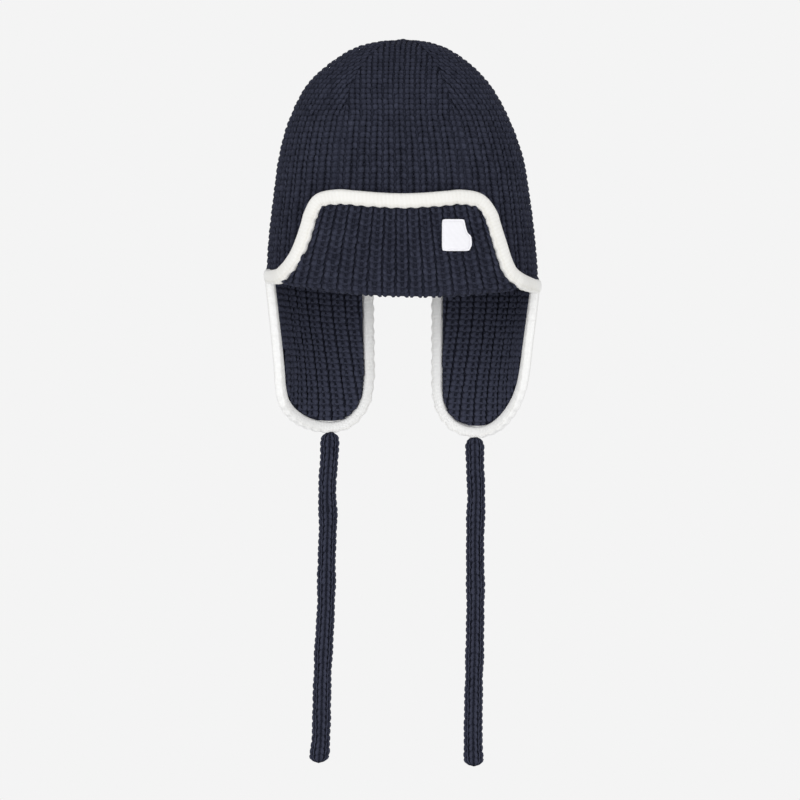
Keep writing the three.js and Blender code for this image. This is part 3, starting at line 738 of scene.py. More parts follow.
def wool(name, dark, light, sheen, bump_depth, fleck=1.3, ply_turns=2.0, ply_slant=1.6):
    """Yarn: darker where it dips into the knit, as painted shade from the tone attribute, which also carries
    painted light, with twisted plies, fine fuzz and soft sheen.
    """
    material = bpy.data.materials.new(name)
    material.use_nodes = True
    nodes, links = material.node_tree.nodes, material.node_tree.links
    shader = nodes["Principled BSDF"]
    shader.inputs["Roughness"].default_value = 0.92
    shader.inputs["Specular IOR Level"].default_value = 0.08
    shader.inputs["Sheen Weight"].default_value = sheen
    shader.inputs["Sheen Roughness"].default_value = 0.45
    shader.inputs["Sheen Tint"].default_value = (*light, 1)

    tone = nodes.new("ShaderNodeAttribute")
    tone.attribute_name = "tone"
    place = nodes.new("ShaderNodeTexCoord")
    patches = nodes.new("ShaderNodeTexNoise")
    patches.inputs["Scale"].default_value = 60.0
    patches.inputs["Detail"].default_value = 2.0
    links.new(place.outputs["Object"], patches.inputs["Vector"])
    uneven = maths(nodes, links, "MULTIPLY_ADD", patches.outputs["Fac"], 0.36)
    uneven.node.inputs[2].default_value = -0.18
    factor = maths(nodes, links, "ADD", tone.outputs["Fac"], uneven)

    plies = nodes.new("ShaderNodeUVMap")
    plies.uv_map = "yarn"
    split = nodes.new("ShaderNodeSeparateXYZ")
    links.new(plies.outputs["UV"], split.inputs["Vector"])
    round_yarn = maths(nodes, links, "MULTIPLY", split.outputs["X"], ply_turns * 2 * math.pi)
    down_yarn = maths(nodes, links, "MULTIPLY", split.outputs["Y"], ply_slant * 2 * math.pi)
    ply_wave = maths(nodes, links, "SINE", maths(nodes, links, "ADD", round_yarn, down_yarn))
    factor = maths(nodes, links, "ADD", factor, maths(nodes, links, "MULTIPLY", ply_wave, 0.06))

    fuzz = nodes.new("ShaderNodeTexNoise")
    fuzz.inputs["Scale"].default_value = 850.0
    fuzz.inputs["Detail"].default_value = 5.0
    fuzz.inputs["Roughness"].default_value = 0.65
    links.new(place.outputs["Object"], fuzz.inputs["Vector"])
    flecks = maths(nodes, links, "MULTIPLY_ADD", fuzz.outputs["Fac"], fleck)
    flecks.node.inputs[2].default_value = -fleck / 2
    factor = maths(nodes, links, "ADD", factor, flecks)
    links.new(colour_mix(nodes, links, dark, light, factor), shader.inputs["Base Color"])
    height = maths(nodes, links, "ADD", maths(nodes, links, "MULTIPLY", ply_wave, 0.5),
                   fuzz.outputs["Fac"])
    bump = nodes.new("ShaderNodeBump")
    bump.inputs["Strength"].default_value = 0.7
    bump.inputs["Distance"].default_value = bump_depth
    links.new(height, bump.inputs["Height"])
    links.new(bump.outputs["Normal"], shader.inputs["Normal"])
    return material


# Ends of the navy ramp: the dark end is painted shade deep in the knit, the light end the lit yarn; random
# patches and flecks move along it too
NAVY_DARK = (0.0080, 0.0090, 0.0160)
NAVY_LIGHT = (0.0480, 0.0525, 0.0820)


def make_materials():
    return {
        "yarn": wool("navy_wool", NAVY_DARK, NAVY_LIGHT, 0.05, 0.00040),
        "core": wool("navy_wool_core", NAVY_DARK, NAVY_LIGHT, 0.05, 0.00040),
        "cream": wool("cream_knit_tape", (0.80, 0.78, 0.72), (0.985, 0.985, 0.98), 0.03, 0.00015, 0.3),
        "label": wool("label_weave", (0.80, 0.795, 0.84), (0.94, 0.935, 0.975), 0.03, 0.00012, 0.3),
    }


def dress(piece, slot, *nodes):
    """Puts a finished piece in the frame, in place of the named solids."""
    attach(piece, "root")
    if nodes:
        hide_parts(*nodes)
    return piece


# Camera

VIEW_WIDTH = 0.608
CAMERA_DISTANCE = 15.0
CAMERA_ACROSS, CAMERA_HEIGHT = -0.0019, -0.0836


def make_camera():
    camera = bpy.data.objects.new("camera", bpy.data.cameras.new("camera"))
    bpy.context.collection.objects.link(camera)
    camera.data.sensor_width = 36.0
    camera.data.lens = camera.data.sensor_width * CAMERA_DISTANCE / VIEW_WIDTH
    camera.location = (CAMERA_ACROSS, -CAMERA_DISTANCE, CAMERA_HEIGHT)
    camera.rotation_euler = (math.radians(90), 0, 0)
    bpy.context.scene.camera = camera


# The ties: knitted strips with six ribs round them

TIE_RINGS = 220
TIE_SIDES = 24
TIE_RIBS = 6
TIE_CORE = 1.045
TIE_END = 7.0
TIE_END_SWELL = 0.10
TIE_UNEVENNESS = 0.025
# Painted light: tone added to every stitch of the ties, which hang in shade below the hat
TIE_PAINTED_LIGHT = 0.36


def tie_spot(path, along, turn, out):
    """A point on a tie, by distance along its path and turn round it from the front."""
    length = path_length(path)
    along = np.clip(along, 0, length)
    at = np.linspace(0, length, len(path))
    middle = np.stack([np.interp(along, at, column) for column in path.T], axis=-1)
    end = np.clip(np.minimum(along, length - along) / TIE_END, 0, 1)
    fullness = np.sqrt(1 - (1 - end) ** 2)
    fullness = fullness * (1 + TIE_END_SWELL * smooth(along, length - 30, length - 10))
    fullness = fullness * (1 + TIE_UNEVENNESS * (np.sin(along / 4.3) + np.sin(along / 7.9)))
    middle[..., 0] += np.sin(turn) * (TIE_WIDTH / 2 * TIE_CORE + out) * fullness
    middle[..., 1] -= np.cos(turn) * (TIE_THICKNESS / 2 * TIE_CORE + out) * fullness
    return middle


def make_tie(name, route, materials):
    path = catmull_rom(np.array(route) / MM, TIE_RINGS + 1)
    cloth = Cloth()
    total = path_length(path)
    along = np.linspace(0, total, TIE_RINGS + 1)[:, None]
    turn = np.linspace(0, 2 * np.pi, TIE_SIDES, endpoint=False)[None]
    core = tie_spot(path, *np.broadcast_arrays(along, turn), -1.2)
    # Painted shade: the core inside the stitches gets a low tone
    cloth.add_grid(core, 0.12, np.zeros((*core.shape[:2], 2)), closed=(False, True), slot=1)
    rows = np.arange(int((total - 1.5) / TIE_ROW_PITCH) + 1)
    rib, row, side = np.meshgrid(np.arange(TIE_RIBS), rows, (-1.0, 1.0), indexing="ij")
    rib, row, side = rib.ravel(), row.ravel(), side.ravel()
    pitch = 2 * np.pi * math.sqrt((TIE_WIDTH ** 2 + TIE_THICKNESS ** 2) / 8) / TIE_RIBS
    across, down, out, tones = stitch_legs(side, pitch, TIE_ROW_PITCH)
    rib_turn = (rib[:, None] + 0.5) / TIE_RIBS * 2 * np.pi
    turn = rib_turn + across / pitch * 2 * np.pi / TIE_RIBS
    along = total - (row[:, None] + 0.5) * TIE_ROW_PITCH - down
    spots = tie_spot(path, np.clip(along, 0.4, total - 0.4), turn, out)
    # The stitches' tones carry painted shade by depth and painted light over the whole tie
    cloth.add_strands(LEG, spots, tones + TIE_PAINTED_LIGHT)
    piece = cloth.make(name, [materials["yarn"], materials["core"]])
    dress(piece, "navy_knit", name)


# The crown: a ribbed shell with stitches all over its outside

CORE_RIB_STEPS = 4
CORE_ROWS = 56
CORE_LEVEL = -2.1
CORE_RELIEF = 1.5
CROWN_QUADRANTS = ("front", "right", "back", "left")
TOP_CLEARANCE = 3.0
PANEL_SEAM = 0.85

# The small nub where the knit is drawn together at the very top
GATHER_RADIUS = 3.6
GATHER_DEPTH = 2.6
GATHER_RISE = 1.0
GATHER_SIDES, GATHER_RINGS = 32, 7
GATHER_FOLDS = 8


def crown_shell(offset, relief):
    """Rings of corners round the dome, along its ribs, from the hem to the top."""
    columns = []
    for quarter in range(4):
        steps = np.arange(0, 2 * RIBS_PER_QUARTER, 2 / CORE_RIB_STEPS)
        if quarter % 2:
            steps = 2 * RIBS_PER_QUARTER - steps
        columns.extend((quarter, step) for step in steps)
    quarters = np.array([column[0] for column in columns])[None]
    half_steps = np.array([column[1] for column in columns])[None]
    rise = np.linspace(0, 1, CORE_ROWS + 1)[:, None] ** 0.92
    rise = np.minimum(rise, 0.994)
    reach = dome(rise)[0]
    place, in_panel, step = rib_place(half_steps, reach)
    place = np.where(in_panel, np.minimum(place, DECREASE_LINE), np.maximum(place, DECREASE_LINE))
    fullness = np.clip(np.abs(place - DECREASE_LINE) / step, 0, 1)
    share = crown_share(quarters, place)
    climb = mix(hem_climb(share), 1, rise)
    ridge = np.maximum(np.sin(np.pi * half_steps / 2) ** 2 * fullness, PANEL_SEAM * (1 - fullness))
    spots = dome_spot(share, climb, offset + relief * ridge)
    phases = np.stack(np.broadcast_arrays(half_steps / 2, climb * DOME_LENGTH / ROW_PITCH), axis=-1)
    return spots, ridge, phases


def make_crown_shell(materials):
    cloth = Cloth()
    outer, ridge, phases = crown_shell(CORE_LEVEL, CORE_RELIEF)
    inner, inner_ridge, _ = crown_shell(-KNIT_WALL + 0.6, -1.2)
    # Painted shade: the core's tones are low and lowest in the valleys between ribs, and the rim's are low
    # too
    cloth.add_grid(outer, 0.15 + 0.25 * ridge, phases, closed=(False, True), slot=1)
    cloth.add_grid(inner, 0.35 + 0.5 * inner_ridge, phases, closed=(False, True), flip=True, slot=1)
    rim = np.stack([inner[0], outer[0]])
    cloth.add_grid(rim, 0.3, np.zeros((*rim.shape[:2], 2)), closed=(False, True), slot=1)
    turn = np.linspace(0, 2 * np.pi, GATHER_SIDES, endpoint=False)[None]
    rise = np.linspace(0, 1, GATHER_RINGS)[:, None] * np.pi / 2 * 0.98
    reach = GATHER_RADIUS * np.cos(rise) * (1 + 0.16 * np.cos(GATHER_FOLDS * turn) * np.cos(rise))
    height = CROWN_HEIGHT - GATHER_DEPTH + (GATHER_DEPTH + GATHER_RISE) * np.sin(rise) + 0 * turn
    nub = np.stack([DOME[-1, 1] + reach * np.sin(turn), -reach * np.cos(turn), height], axis=-1)
    # Painted shade: the nub is darker in the creases between its folds and lighter on them
    cloth.add_grid(nub, 0.62 + 0.1 * np.cos(GATHER_FOLDS * turn), np.zeros((*nub.shape[:2], 2)),
                   closed=(False, True), slot=1)
    piece = cloth.make("crown_shell", [materials["yarn"], materials["core"]])
    dress(piece, "navy_knit", "crown")


def crown_grid(quadrant, first, sides):
    """Quarter, half step, row and side of all that repeats in one quadrant, as flat lists."""
    lists = []
    for quarter in {0: (0, 3), 1: (0, 1), 2: (1, 2), 3: (2, 3)}[quadrant]:
        halves = np.arange(first + (2 if first == 0 and quarter % 2 else 0), 2 * RIBS_PER_QUARTER + 1, 2)
        if first == 0 and quarter % 2 == 0:
            halves = halves[:-1]
        near_middle = halves <= RIBS_PER_QUARTER
        halves = halves[near_middle] if quadrant in (0, 2) else halves[~near_middle]
        rows = np.arange(int(DOME_LENGTH / ROW_PITCH) + 1)
        grid = np.meshgrid((quarter,), halves, rows, sides, indexing="ij")
        lists.append(np.stack([part.ravel() for part in grid]))
    quarter, half_step, row, side = np.concatenate(lists, axis=1)
    return quarter.astype(int), half_step, row, side


def crown_kept(quarter, half_step, row, lean):
    """Which of them lie on the crown and inside their own panel."""
    climb = (row + 0.8) * ROW_PITCH / DOME_LENGTH
    place, in_panel, step = rib_place(half_step, dome(np.clip(climb, 0, 1))[0])
    centre = place + lean * step
    inside = np.where(in_panel, centre < DECREASE_LINE + 1e-6, centre > DECREASE_LINE - 1e-6)
    above_hem = climb > hem_climb(crown_share(quarter, centre))
    return inside & above_hem & (climb < 1 - TOP_CLEARANCE / DOME_LENGTH)


def make_crown_knit(quadrant, materials):
    cloth = Cloth()
    quarter, half_step, row, side = crown_grid(quadrant, 1, (-1.0, 1.0))
    kept = crown_kept(quarter, half_step, row, 0.45 * side)
    quarter, half_step, row, side = (part[kept] for part in (quarter, half_step, row, side))
    across, along, out, tones = stitch_legs(side, RIB_PITCH, ROW_PITCH)
    along = along + (row[:, None] + 0.5) * ROW_PITCH
    cloth.add_strands(LEG, crown_spot(quarter[:, None], half_step[:, None], across, along, out), tones)

    quarter, half_step, row, side = crown_grid(quadrant, 0, (0.0,))
    kept = crown_kept(quarter, half_step, row, 0)
    quarter, half_step, row = (part[kept] for part in (quarter, half_step, row))
    across, along, out, tones = valley_bars(len(row), RIB_PITCH, ROW_PITCH)
    along = along + (row[:, None] + 0.8) * ROW_PITCH
    cloth.add_strands(BAR, crown_spot(quarter[:, None], half_step[:, None], across, along, out), tones)
    piece = cloth.make(f"crown_knit_{CROWN_QUADRANTS[quadrant]}", [materials["yarn"]])
    dress(piece, "navy_knit", "crown")


# The front flap

FLAP_COLUMNS = 160
FLAP_ROWS = 40
FOLD_CORE_LEVEL = -0.5


def flap_columns():
    return np.linspace(-1, 1, FLAP_COLUMNS + 1)


def make_front_flap(materials):
    cloth = Cloth()
    spread = flap_columns()[:, None]
    part = np.linspace(0, 1, FLAP_ROWS + 1)[None]
    share_low = spread * flap_edge(spread, 0.0)
    total = flap_face_length(share_low) + flap_fold_length(share_low)
    fall = part * total
    climb = np.clip(1 - fall / flap_face_length(share_low), 0, 1)
    share = spread * flap_edge(spread, climb)
    fold_part = smooth(fall / flap_face_length(share), 0.97, 1.1)
    outer = flap_spot(share, fall, mix(CORE_LEVEL + 0.5, FOLD_CORE_LEVEL, fold_part))
    inner = flap_spot(share, fall, -KNIT_WALL + 0.3)
    ring = np.concatenate([outer, inner[:, ::-1]], axis=1)
    # Painted shade: the core behind the stitches and its end lids get low tones
    cloth.add_grid(ring, 0.3, np.zeros((*ring.shape[:2], 2)), closed=(False, True), slot=1)
    for end, flip in ((0, False), (-1, True)):
        lid = np.stack([outer[end], inner[end]])
        cloth.add_grid(lid, 0.12, np.zeros((*lid.shape[:2], 2)), flip=flip, slot=1)

    halves = np.arange(1, FLAP_HALF_STEPS + 2, 2)
    signed = np.concatenate([-halves[::-1], halves])
    rows = np.arange(22)
    half, row, side = (a.ravel() for a in np.meshgrid(signed, rows, (-1.0, 1.0), indexing="ij"))
    across, down, out, tones = stitch_legs(side, RIB_PITCH, ROW_PITCH)
    fall = (row[:, None] + 0.4) * ROW_PITCH + down
    sign = np.sign(half)[:, None]
    spread = np.abs(half)[:, None] / FLAP_HALF_STEPS

    def rib_share(at_fall, beside):
        place = np.abs(half)[:, None] / (2 * RIBS_PER_QUARTER)
        face = flap_face_length(sign * rib_spread(place) / 4)
        climb_here = np.clip(1 - at_fall / face, 0, 1)
        free = sign * rib_spread(place + sign * beside / QUARTER) / 4
        return free * (1 - mix(*FLAP_RIB_FAN, spread) * climb_here), climb_here

    centre, centre_climb = rib_share(fall.mean(axis=1, keepdims=True), side[:, None] * 0.22 * RIB_PITCH)
    limit = flap_edge(sign, centre_climb)
    base = rib_spread(np.abs(half)[:, None] / (2 * RIBS_PER_QUARTER)) / 4
    section = flap_face_length(sign * base) + flap_fold_length(sign * base)
    kept = (np.abs(centre) < limit) & (fall.max(axis=1, keepdims=True) < section + 2)
    kept = kept[:, 0]
    share, climb = rib_share(fall, across)
    limit = flap_edge(sign, climb)
    share = np.clip(share, -limit, limit)
    spots = flap_spot(share, np.maximum(fall, 0.2), out)
    cloth.add_strands(LEG, spots[kept], tones[kept])

    half, row = (a.ravel() for a in np.meshgrid(signed[:-1] + 1, rows, indexing="ij"))
    across, down, out, tones = valley_bars(len(row), RIB_PITCH, ROW_PITCH, RAISED_BARS)
    fall = (row[:, None] + 0.1) * ROW_PITCH + down
    sign = np.where(half < 0, -1, 1)[:, None]
    spread = np.abs(half)[:, None] / FLAP_HALF_STEPS
    share, climb = rib_share(np.maximum(fall, 0.2), across)
    kept = np.all(np.abs(share) < flap_edge(sign, climb), axis=1)
    kept &= fall.max(axis=1) < (flap_face_length(share[:, 0]) + flap_fold_length(share[:, 0]))
    cloth.add_strands(BAR, flap_spot(share, np.maximum(fall, 0.2), out)[kept], tones[kept])
    piece = cloth.make("front_flap_knit", [materials["yarn"], materials["core"]])
    dress(piece, "navy_knit", "front_flap")


# The ear flaps, knitted alike on both faces

EAR_COLUMNS = 72
EAR_ROWS = 30
# Painted light: tone added to every strand on the inner face of each ear flap, which lies in shade inside
# the hat
LINING_PAINTED_LIGHT = 0.60
# Tone of the ear flaps' core: low as painted shade in the knit's valleys, yet raised above the other cores'
# as painted light on the shaded ear flaps
EAR_CORE_TONE = 0.35
HEM_LAP = 0.03


def ear_strands(cloth, strand, ear, face, half_step, fall, across, out, tones):
    """Strands beside ribs that come down from the crown and lean forward as they fall."""
    # Painted light on the inner face, which is shaded inside the hat
    tones = tones + (LINING_PAINTED_LIGHT if face < 0 else 0)
    drop = fall / ear.length
    wide = mix(1.0, EAR_RIB_WIDENING, smooth(drop, 0, 1)) / mix(ear.top_width, ear.bottom_width, drop)
    half_step = half_step[:, None]
    top = (rib_share_at_hem(half_step) - (ear.front_share + ear.back_share) / 2) * 4 * QUARTER
    breadth = (rib_share_at_hem(half_step + 1) - rib_share_at_hem(half_step - 1)) * 4 * RIBS_PER_QUARTER
    place = 0.5 - EAR_RIB_LEAN * drop + (top + across * breadth) * wide
    centre = place.mean(axis=1)
    kept = (centre > 0) & (centre < 1)
    kept &= drop.mean(axis=1) < ear.end_drop(np.clip(centre, 0, 1))
    place = np.clip(place, 0.004, 0.996)
    drop = np.clip(drop, -HEM_LAP, ear.end_drop(place))
    cloth.add_strands(strand, ear.spot(place, drop, face * (KNIT_WALL / 2 + out))[kept], tones[kept])


def make_ear_flap(name, ear, materials):
    cloth = Cloth()
    place = np.linspace(0, 1, EAR_COLUMNS + 1)[:, None]
    part = np.linspace(0, 1, EAR_ROWS + 1)[None]
    drop = part * ear.end_drop(place)
    core_half = KNIT_WALL / 2 + CORE_LEVEL + 0.4
    outer = ear.spot(place, drop, np.array(core_half))
    inner = ear.spot(place, drop, np.array(-core_half))
    flip = ear.side > 0
    blank = np.zeros((*outer.shape[:2], 2))
    # Painted shade and light: the core sheets get EAR_CORE_TONE and the edge lids a low tone
    cloth.add_grid(outer, EAR_CORE_TONE, blank, flip=flip, slot=1)
    cloth.add_grid(inner, EAR_CORE_TONE, blank, flip=not flip, slot=1)
    for low, high in ((outer[0], inner[0]), (inner[-1], outer[-1]),
                      (inner[:, 0], outer[:, 0]), (outer[:, -1], inner[:, -1])):
        lid = np.stack([low, high])
        cloth.add_grid(lid, 0.12, np.zeros((*lid.shape[:2], 2)), flip=flip, slot=1)

    ribs = np.arange(2 * RIBS_PER_QUARTER - 5, 4 * RIBS_PER_QUARTER, 2)
    rows = np.arange(int(ear.length / ROW_PITCH) + 1)
    for face in (1, -1):
        half, row, side = (a.ravel() for a in np.meshgrid(ribs, rows, (-1.0, 1.0), indexing="ij"))
        across, down, out, tones = stitch_legs(side, RIB_PITCH, ROW_PITCH)
        ear_strands(cloth, LEG, ear, face, half, (row[:, None] + 0.5) * ROW_PITCH - down, across, out, tones)
        half, row = (a.ravel() for a in np.meshgrid(ribs[:-1] + 1, rows, indexing="ij"))
        across, down, out, tones = valley_bars(len(row), RIB_PITCH, ROW_PITCH, RAISED_BARS)
        ear_strands(cloth, BAR, ear, face, half, (row[:, None] + 0.5) * ROW_PITCH - down, across, out, tones)
    piece = cloth.make(f"{name}_knit", [materials["yarn"], materials["core"]])
    dress(piece, "navy_knit", name)


# The binding: one knitted tape round the whole free edge

BINDING_RIDGE = 0.95
BINDING_STEPS_PER_RIDGE = 3
BINDING_SIDES = 20
BINDING_SQUARENESS = 0.62
GROOVE_PLACE, GROOVE_WIDTH, GROOVE_DEPTH = 0.70, 0.14, 0.35
BINDING_OVERLAP = 0.8
RIDGE_DEPTH = 0.11
CORNER_CLOSENESS = 0.42

# Its rim waves a little beside each rib
RIM_WAVE, RIM_WAVE_LENGTH = 0.40, 8.7
SLOW_WAVE, SLOW_WAVE_LENGTH = 0.12, 23.0


def beside_edge(stations, sign, closeness=None):
    """Moves stations on a fabric edge out to the middle of the binding that covers it."""
    moved = []
    for index, (spot, outward, width) in enumerate(stations):
        before = stations[max(index - 1, 0)][0]
        after = stations[min(index + 1, len(stations) - 1)][0]
        along = after - before
        across = np.cross(outward, along)
        across = across / np.linalg.norm(across)
        reach = (closeness or {}).get(index, 1.0)
        moved.append((spot + across * sign * reach * (width / 2 + BINDING_GAP), outward, width))
    return moved


def oval_outward(share):
    _, _, out_x, out_y = oval(share)
    return np.array([float(out_x), float(out_y), 0.0])


def flap_edge_stations(side):
    middle = FLAP_INSIDE + BINDING_THICKNESS / 2 - FLAP_OUTSIDE

    def station(share, climb):
        face = float(flap_face_length(np.array(side * share)))
        spot = flap_spot(np.array(side * share), np.array((1 - climb) * face), np.array(middle))
        return spot, oval_outward(side * share), FLAP_BINDING_WIDTH

    corner = float(flap_edge(side, 1.0))
    top = [station(part * corner, 1.0) for part in (0, 0.2, 0.4, 0.6, 0.78, 1.0)]
    climbs = (0.83, 0.74, 0.66, 0.56, 0.46, 0.37, 0.28, 0.2, 0.12, 0.06, 0.0)
    edge = [station(float(flap_edge(side, climb)), climb) for climb in climbs]
    return beside_edge([*top, *edge], side, {len(top) - 1: CORNER_CLOSENESS})


def hem_corner_stations(side):
    side_hem = LEFT_HEM if side < 0 else RIGHT_HEM
    stations = []
    for share, offset, below in ((0.205, 1.5, 1.5), (0.226, -1.2, 1.2)):
        height = np.array(side_hem - EAR_BINDING_WIDTH / 2 - below)
        spot = wall_spot(np.array(side * share), height, offset)
        stations.append((spot, oval_outward(side * share), (FLAP_BINDING_WIDTH + EAR_BINDING_WIDTH) / 2))
    return stations


def ear_edge_stations(ear):
    def station(place, drop):
        place, drop = np.array(place, float), np.array(drop, float)
        outward = ear.outward(place, drop)
        shift = EAR_BINDING_SHIFT * (1 - smooth(place, 0, 0.35))
        return ear.middle_spot(place, drop) + shift * outward, outward, EAR_BINDING_WIDTH

    parts = (0.10, 0.17, 0.25, 0.33, 0.42, 0.5, 0.6, 0.7, 0.8, 0.9)
    ends = (0, 0.04, 0.12, 0.22, 0.34, 0.46, 0.58, 0.7, 0.8, 0.88, 0.96, 1)
    front = [station(0, part * float(ear.end_drop(0.0))) for part in parts]
    bottom = [station(place, float(ear.end_drop(place))) for place in ends]
    back = [station(1, part * float(ear.end_drop(1.0))) for part in reversed(parts)]
    return [*front, *bottom, *back]


def back_hem_stations():
    right = [EARS[1].back_share + inset for inset in (0.012, 0.026, 0.04)]
    shares = [*right, 0.5, *[1 - share for share in reversed(right)]]
    return [(wall_spot(np.array(share), hem_height(share), -KNIT_WALL / 2), oval_outward(share),
             EAR_BINDING_WIDTH) for share in shares]


def binding_path():
    flap_right = flap_edge_stations(1)
    flap_left = flap_edge_stations(-1)
    ear_right = beside_edge(ear_edge_stations(EARS[1]), -1)
    ear_left = beside_edge(ear_edge_stations(EARS[-1]), 1)
    back = beside_edge(back_hem_stations(), -1)
    stations = [
        *flap_right, *hem_corner_stations(1), *ear_right, *back,
        *ear_left[::-1], *hem_corner_stations(-1)[::-1], *flap_left[:0:-1],
    ]
    rows = np.array([[*spot, *outward, width] for spot, outward, width in stations])
    length = path_length(catmull_rom(rows, 2000, closed=True))
    steps = int(round(length / BINDING_RIDGE)) * BINDING_STEPS_PER_RIDGE
    return catmull_rom(rows, steps + 1, closed=True)[:-1], length


def make_binding(materials):
    path, length = binding_path()
    middle, outward, width = path[:, :3], path[:, 3:6], path[:, 6]
    along = np.roll(middle, -1, axis=0) - np.roll(middle, 1, axis=0)
    along /= np.linalg.norm(along, axis=1)[:, None]
    outward = outward - along * np.einsum("ij,ij->i", outward, along)[:, None]
    outward /= np.linalg.norm(outward, axis=1)[:, None]
    inward = np.cross(along, outward)
    steps = np.arange(len(middle))
    ridge = RIDGE_DEPTH * np.cos(2 * np.pi * steps / BINDING_STEPS_PER_RIDGE)
    run = steps / len(middle) * length
    wave = RIM_WAVE * np.sin(2 * np.pi * run / RIM_WAVE_LENGTH)
    wave = wave + SLOW_WAVE * np.sin(2 * np.pi * run / SLOW_WAVE_LENGTH)
    turn = 2 * np.pi * np.arange(BINDING_SIDES) / BINDING_SIDES
    sideways = np.sign(np.cos(turn)) * np.abs(np.cos(turn)) ** BINDING_SQUARENESS
    upright = np.sign(np.sin(turn)) * np.abs(np.sin(turn)) ** BINDING_SQUARENESS
    grown = ridge[:, None]
    to_fabric = (width / 2 + BINDING_OVERLAP + wave)[:, None] + grown
    to_edge = (width / 2)[:, None] + grown
    reach = np.where(sideways > 0, to_fabric, to_edge) * sideways
    groove = np.exp(-((sideways - GROOVE_PLACE) / GROOVE_WIDTH) ** 2)
    broad = smooth((width - EAR_BINDING_WIDTH) / (FLAP_BINDING_WIDTH - EAR_BINDING_WIDTH), 0, 1)
    thickness = mix(EAR_BINDING_THICKNESS, BINDING_THICKNESS, broad)[:, None]
    rise = (thickness / 2 + 0.5 + grown - GROOVE_DEPTH * groove) * upright
    grid = middle[:, None] + inward[:, None] * reach[..., None] + outward[:, None] * rise[..., None]
    # Painted light and shade: the narrow tape round the ear flaps, which lies more in shade, gets pale tones
    # against the broad flap tape's, its ridges are lighter and the groove darker
    tones = (mix(1.05, 0.55, broad) + 0.2 * ridge / RIDGE_DEPTH)[:, None] - 0.35 * groove
    grid_map = np.stack(np.broadcast_arrays(turn[None] / (2 * np.pi), (run / ROW_PITCH)[:, None]), axis=-1)
    cloth = Cloth()
    cloth.add_grid(grid, tones, grid_map, closed=(True, True))
    piece = cloth.make("edge_binding_tape", [materials["cream"]])
    dress(piece, "cream_knit", "edge_binding")


# The label: a bare woven patch sewn along its four sides

LABEL_COLUMNS, LABEL_ROWS = 56, 64
LABEL_THICKNESS = 1.2

# Its right side leans outwards to a soft bend near the bottom: up is -1 to 1, out is in mm
LABEL_SIDE = [
    # up, out
    (-1.00, -0.6),
    (-0.56, 0.8),
    (-0.19, 0.5),
    (0.19, -2.4),
    (0.56, -3.7),
    (1.00, -4.6),
]


def make_label(materials):
    across = np.linspace(-1, 1, LABEL_COLUMNS + 1)[None]
    up = np.linspace(-1, 1, LABEL_ROWS + 1)[:, None]
    side = catmull_rom(LABEL_SIDE, 60)
    lean = np.interp(up, side[:, 0], side[:, 1]) * (across + 1) / 2
    round_in = 1 - 0.05 * np.abs(up) ** 8
    round_up = 1 - 0.04 * np.abs(across) ** 8
    x = LABEL_ACROSS + (LABEL_WIDTH / 2 * across + lean) * round_in
    z = LABEL_MID_HEIGHT + LABEL_HEIGHT / 2 * up * round_up
    edge = np.minimum(1 - np.abs(across), 1 - np.abs(up))
    seam = -0.35 * np.exp(-((edge - 0.12) / 0.035) ** 2)
    swell = 0.35 * smooth(edge, 0, 0.3)
    level = FLAP_OUTSIDE + RIB_RELIEF + PIECE_GAP + seam + swell
    x, z, level = np.broadcast_arrays(x, z, level)
    share = share_across(x, z, FLAP_OUTSIDE)
    cloth = Cloth()
    front = wall_spot(share, z, level + LABEL_THICKNESS)
    back = wall_spot(share, z, level * 0 + FLAP_OUTSIDE + RIB_RELIEF)
    grid_map = np.stack(np.broadcast_arrays(across, up), axis=-1)
    cloth.add_grid(front, 0.8 + seam, grid_map)
    cloth.add_grid(back, 0.8, grid_map, flip=True)
    rim_front = np.concatenate([front[0], front[1:, -1], front[-1, -2::-1], front[-2:0:-1, 0]])
    rim_back = np.concatenate([back[0], back[1:, -1], back[-1, -2::-1], back[-2:0:-1, 0]])
    rim = np.stack([rim_back, rim_front])
    cloth.add_grid(rim, 0.8, np.zeros((*rim.shape[:2], 2)), closed=(False, True))
    piece = cloth.make("label_patch", [materials["label"]])
    dress(piece, "label_weave", "label")


# Stage: a pale floor that fades into an even pale surround, and soft light

BACKDROP = (0.905, 0.905, 0.905)
FLOOR_HEIGHT = -0.62
FLOOR_RADIUS = 2.2
SURROUND_GLOW = 0.62


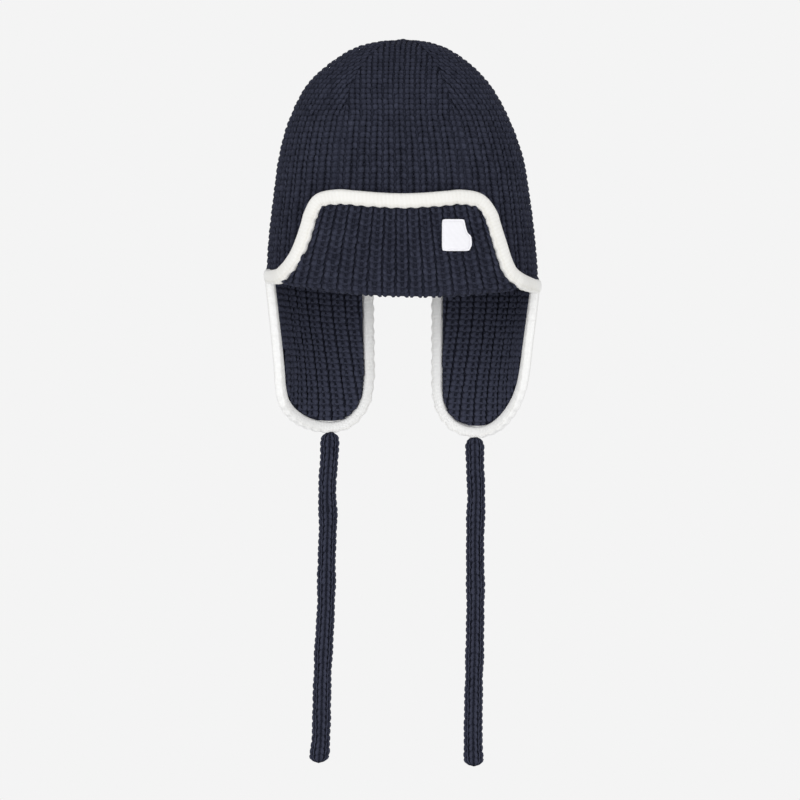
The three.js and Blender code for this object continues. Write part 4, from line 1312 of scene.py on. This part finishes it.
def make_floor():
    bpy.ops.mesh.primitive_circle_add(
        vertices=96, radius=FLOOR_RADIUS, fill_type="NGON", location=(0, 0, FLOOR_HEIGHT))
    floor = bpy.context.object
    floor.name = "floor"
    material = bpy.data.materials.new("pale_floor")
    material.use_nodes = True
    nodes, links = material.node_tree.nodes, material.node_tree.links
    shader = nodes["Principled BSDF"]
    shader.inputs["Base Color"].default_value = (0.86, 0.86, 0.86, 1)
    shader.inputs["Roughness"].default_value = 0.9
    glow = nodes.new("ShaderNodeEmission")
    glow.inputs["Color"].default_value = (*BACKDROP, 1)
    place = nodes.new("ShaderNodeTexCoord")
    distance = nodes.new("ShaderNodeVectorMath")
    distance.operation = "LENGTH"
    links.new(place.outputs["Object"], distance.inputs[0])
    fade = nodes.new("ShaderNodeMapRange")
    fade.interpolation_type = "SMOOTHSTEP"
    fade.inputs["From Min"].default_value = 0.5
    fade.inputs["From Max"].default_value = 0.95 * FLOOR_RADIUS
    links.new(distance.outputs["Value"], fade.inputs["Value"])
    blend = nodes.new("ShaderNodeMixShader")
    links.new(fade.outputs["Result"], blend.inputs["Fac"])
    links.new(shader.outputs["BSDF"], blend.inputs[1])
    links.new(glow.outputs["Emission"], blend.inputs[2])
    links.new(blend.outputs["Shader"], nodes["Material Output"].inputs["Surface"])
    floor.data.materials.append(material)


def add_light(name, place, size, power):
    light = bpy.data.lights.new(name, "AREA")
    light.shape = "DISK"
    light.size = size
    light.energy = power
    lamp = bpy.data.objects.new(name, light)
    bpy.context.collection.objects.link(lamp)
    lamp.location = place
    lamp.rotation_euler = (Vector((0, 0, 0)) - Vector(place)).to_track_quat("-Z", "Y").to_euler()


def make_surround():
    scene = bpy.context.scene
    scene.view_settings.view_transform = "Standard"
    world = bpy.data.worlds.new("pale_surround")
    scene.world = world
    world.use_nodes = True
    nodes, links = world.node_tree.nodes, world.node_tree.links
    seen = nodes["Background"]
    seen.inputs["Color"].default_value = (*BACKDROP, 1)
    glow = nodes.new("ShaderNodeBackground")
    glow.inputs["Color"].default_value = (*BACKDROP, 1)
    glow.inputs["Strength"].default_value = SURROUND_GLOW
    rays = nodes.new("ShaderNodeLightPath")
    blend = nodes.new("ShaderNodeMixShader")
    links.new(rays.outputs["Is Camera Ray"], blend.inputs["Fac"])
    links.new(glow.outputs["Background"], blend.inputs[1])
    links.new(seen.outputs["Background"], blend.inputs[2])
    links.new(blend.outputs["Shader"], nodes["World Output"].inputs["Surface"])
    add_light("soft_key", (-1.5, -2.6, 0.3), 1.6, 26)
    add_light("soft_fill", (1.5, -2.6, -0.3), 1.6, 22)
    add_light("soft_back", (0.2, 3.0, 1.0), 1.8, 40)


make_camera()
finishes = make_materials()
for tie_side in ("left", "right"):
    make_tie(f"tie_{tie_side}", TIE_ROUTES[tie_side], finishes)
make_crown_shell(finishes)
for crown_part in range(4):
    make_crown_knit(crown_part, finishes)
make_front_flap(finishes)
make_ear_flap("ear_flap_left", EARS[-1], finishes)
make_ear_flap("ear_flap_right", EARS[1], finishes)
make_binding(finishes)
make_label(finishes)
make_floor()
make_surround()
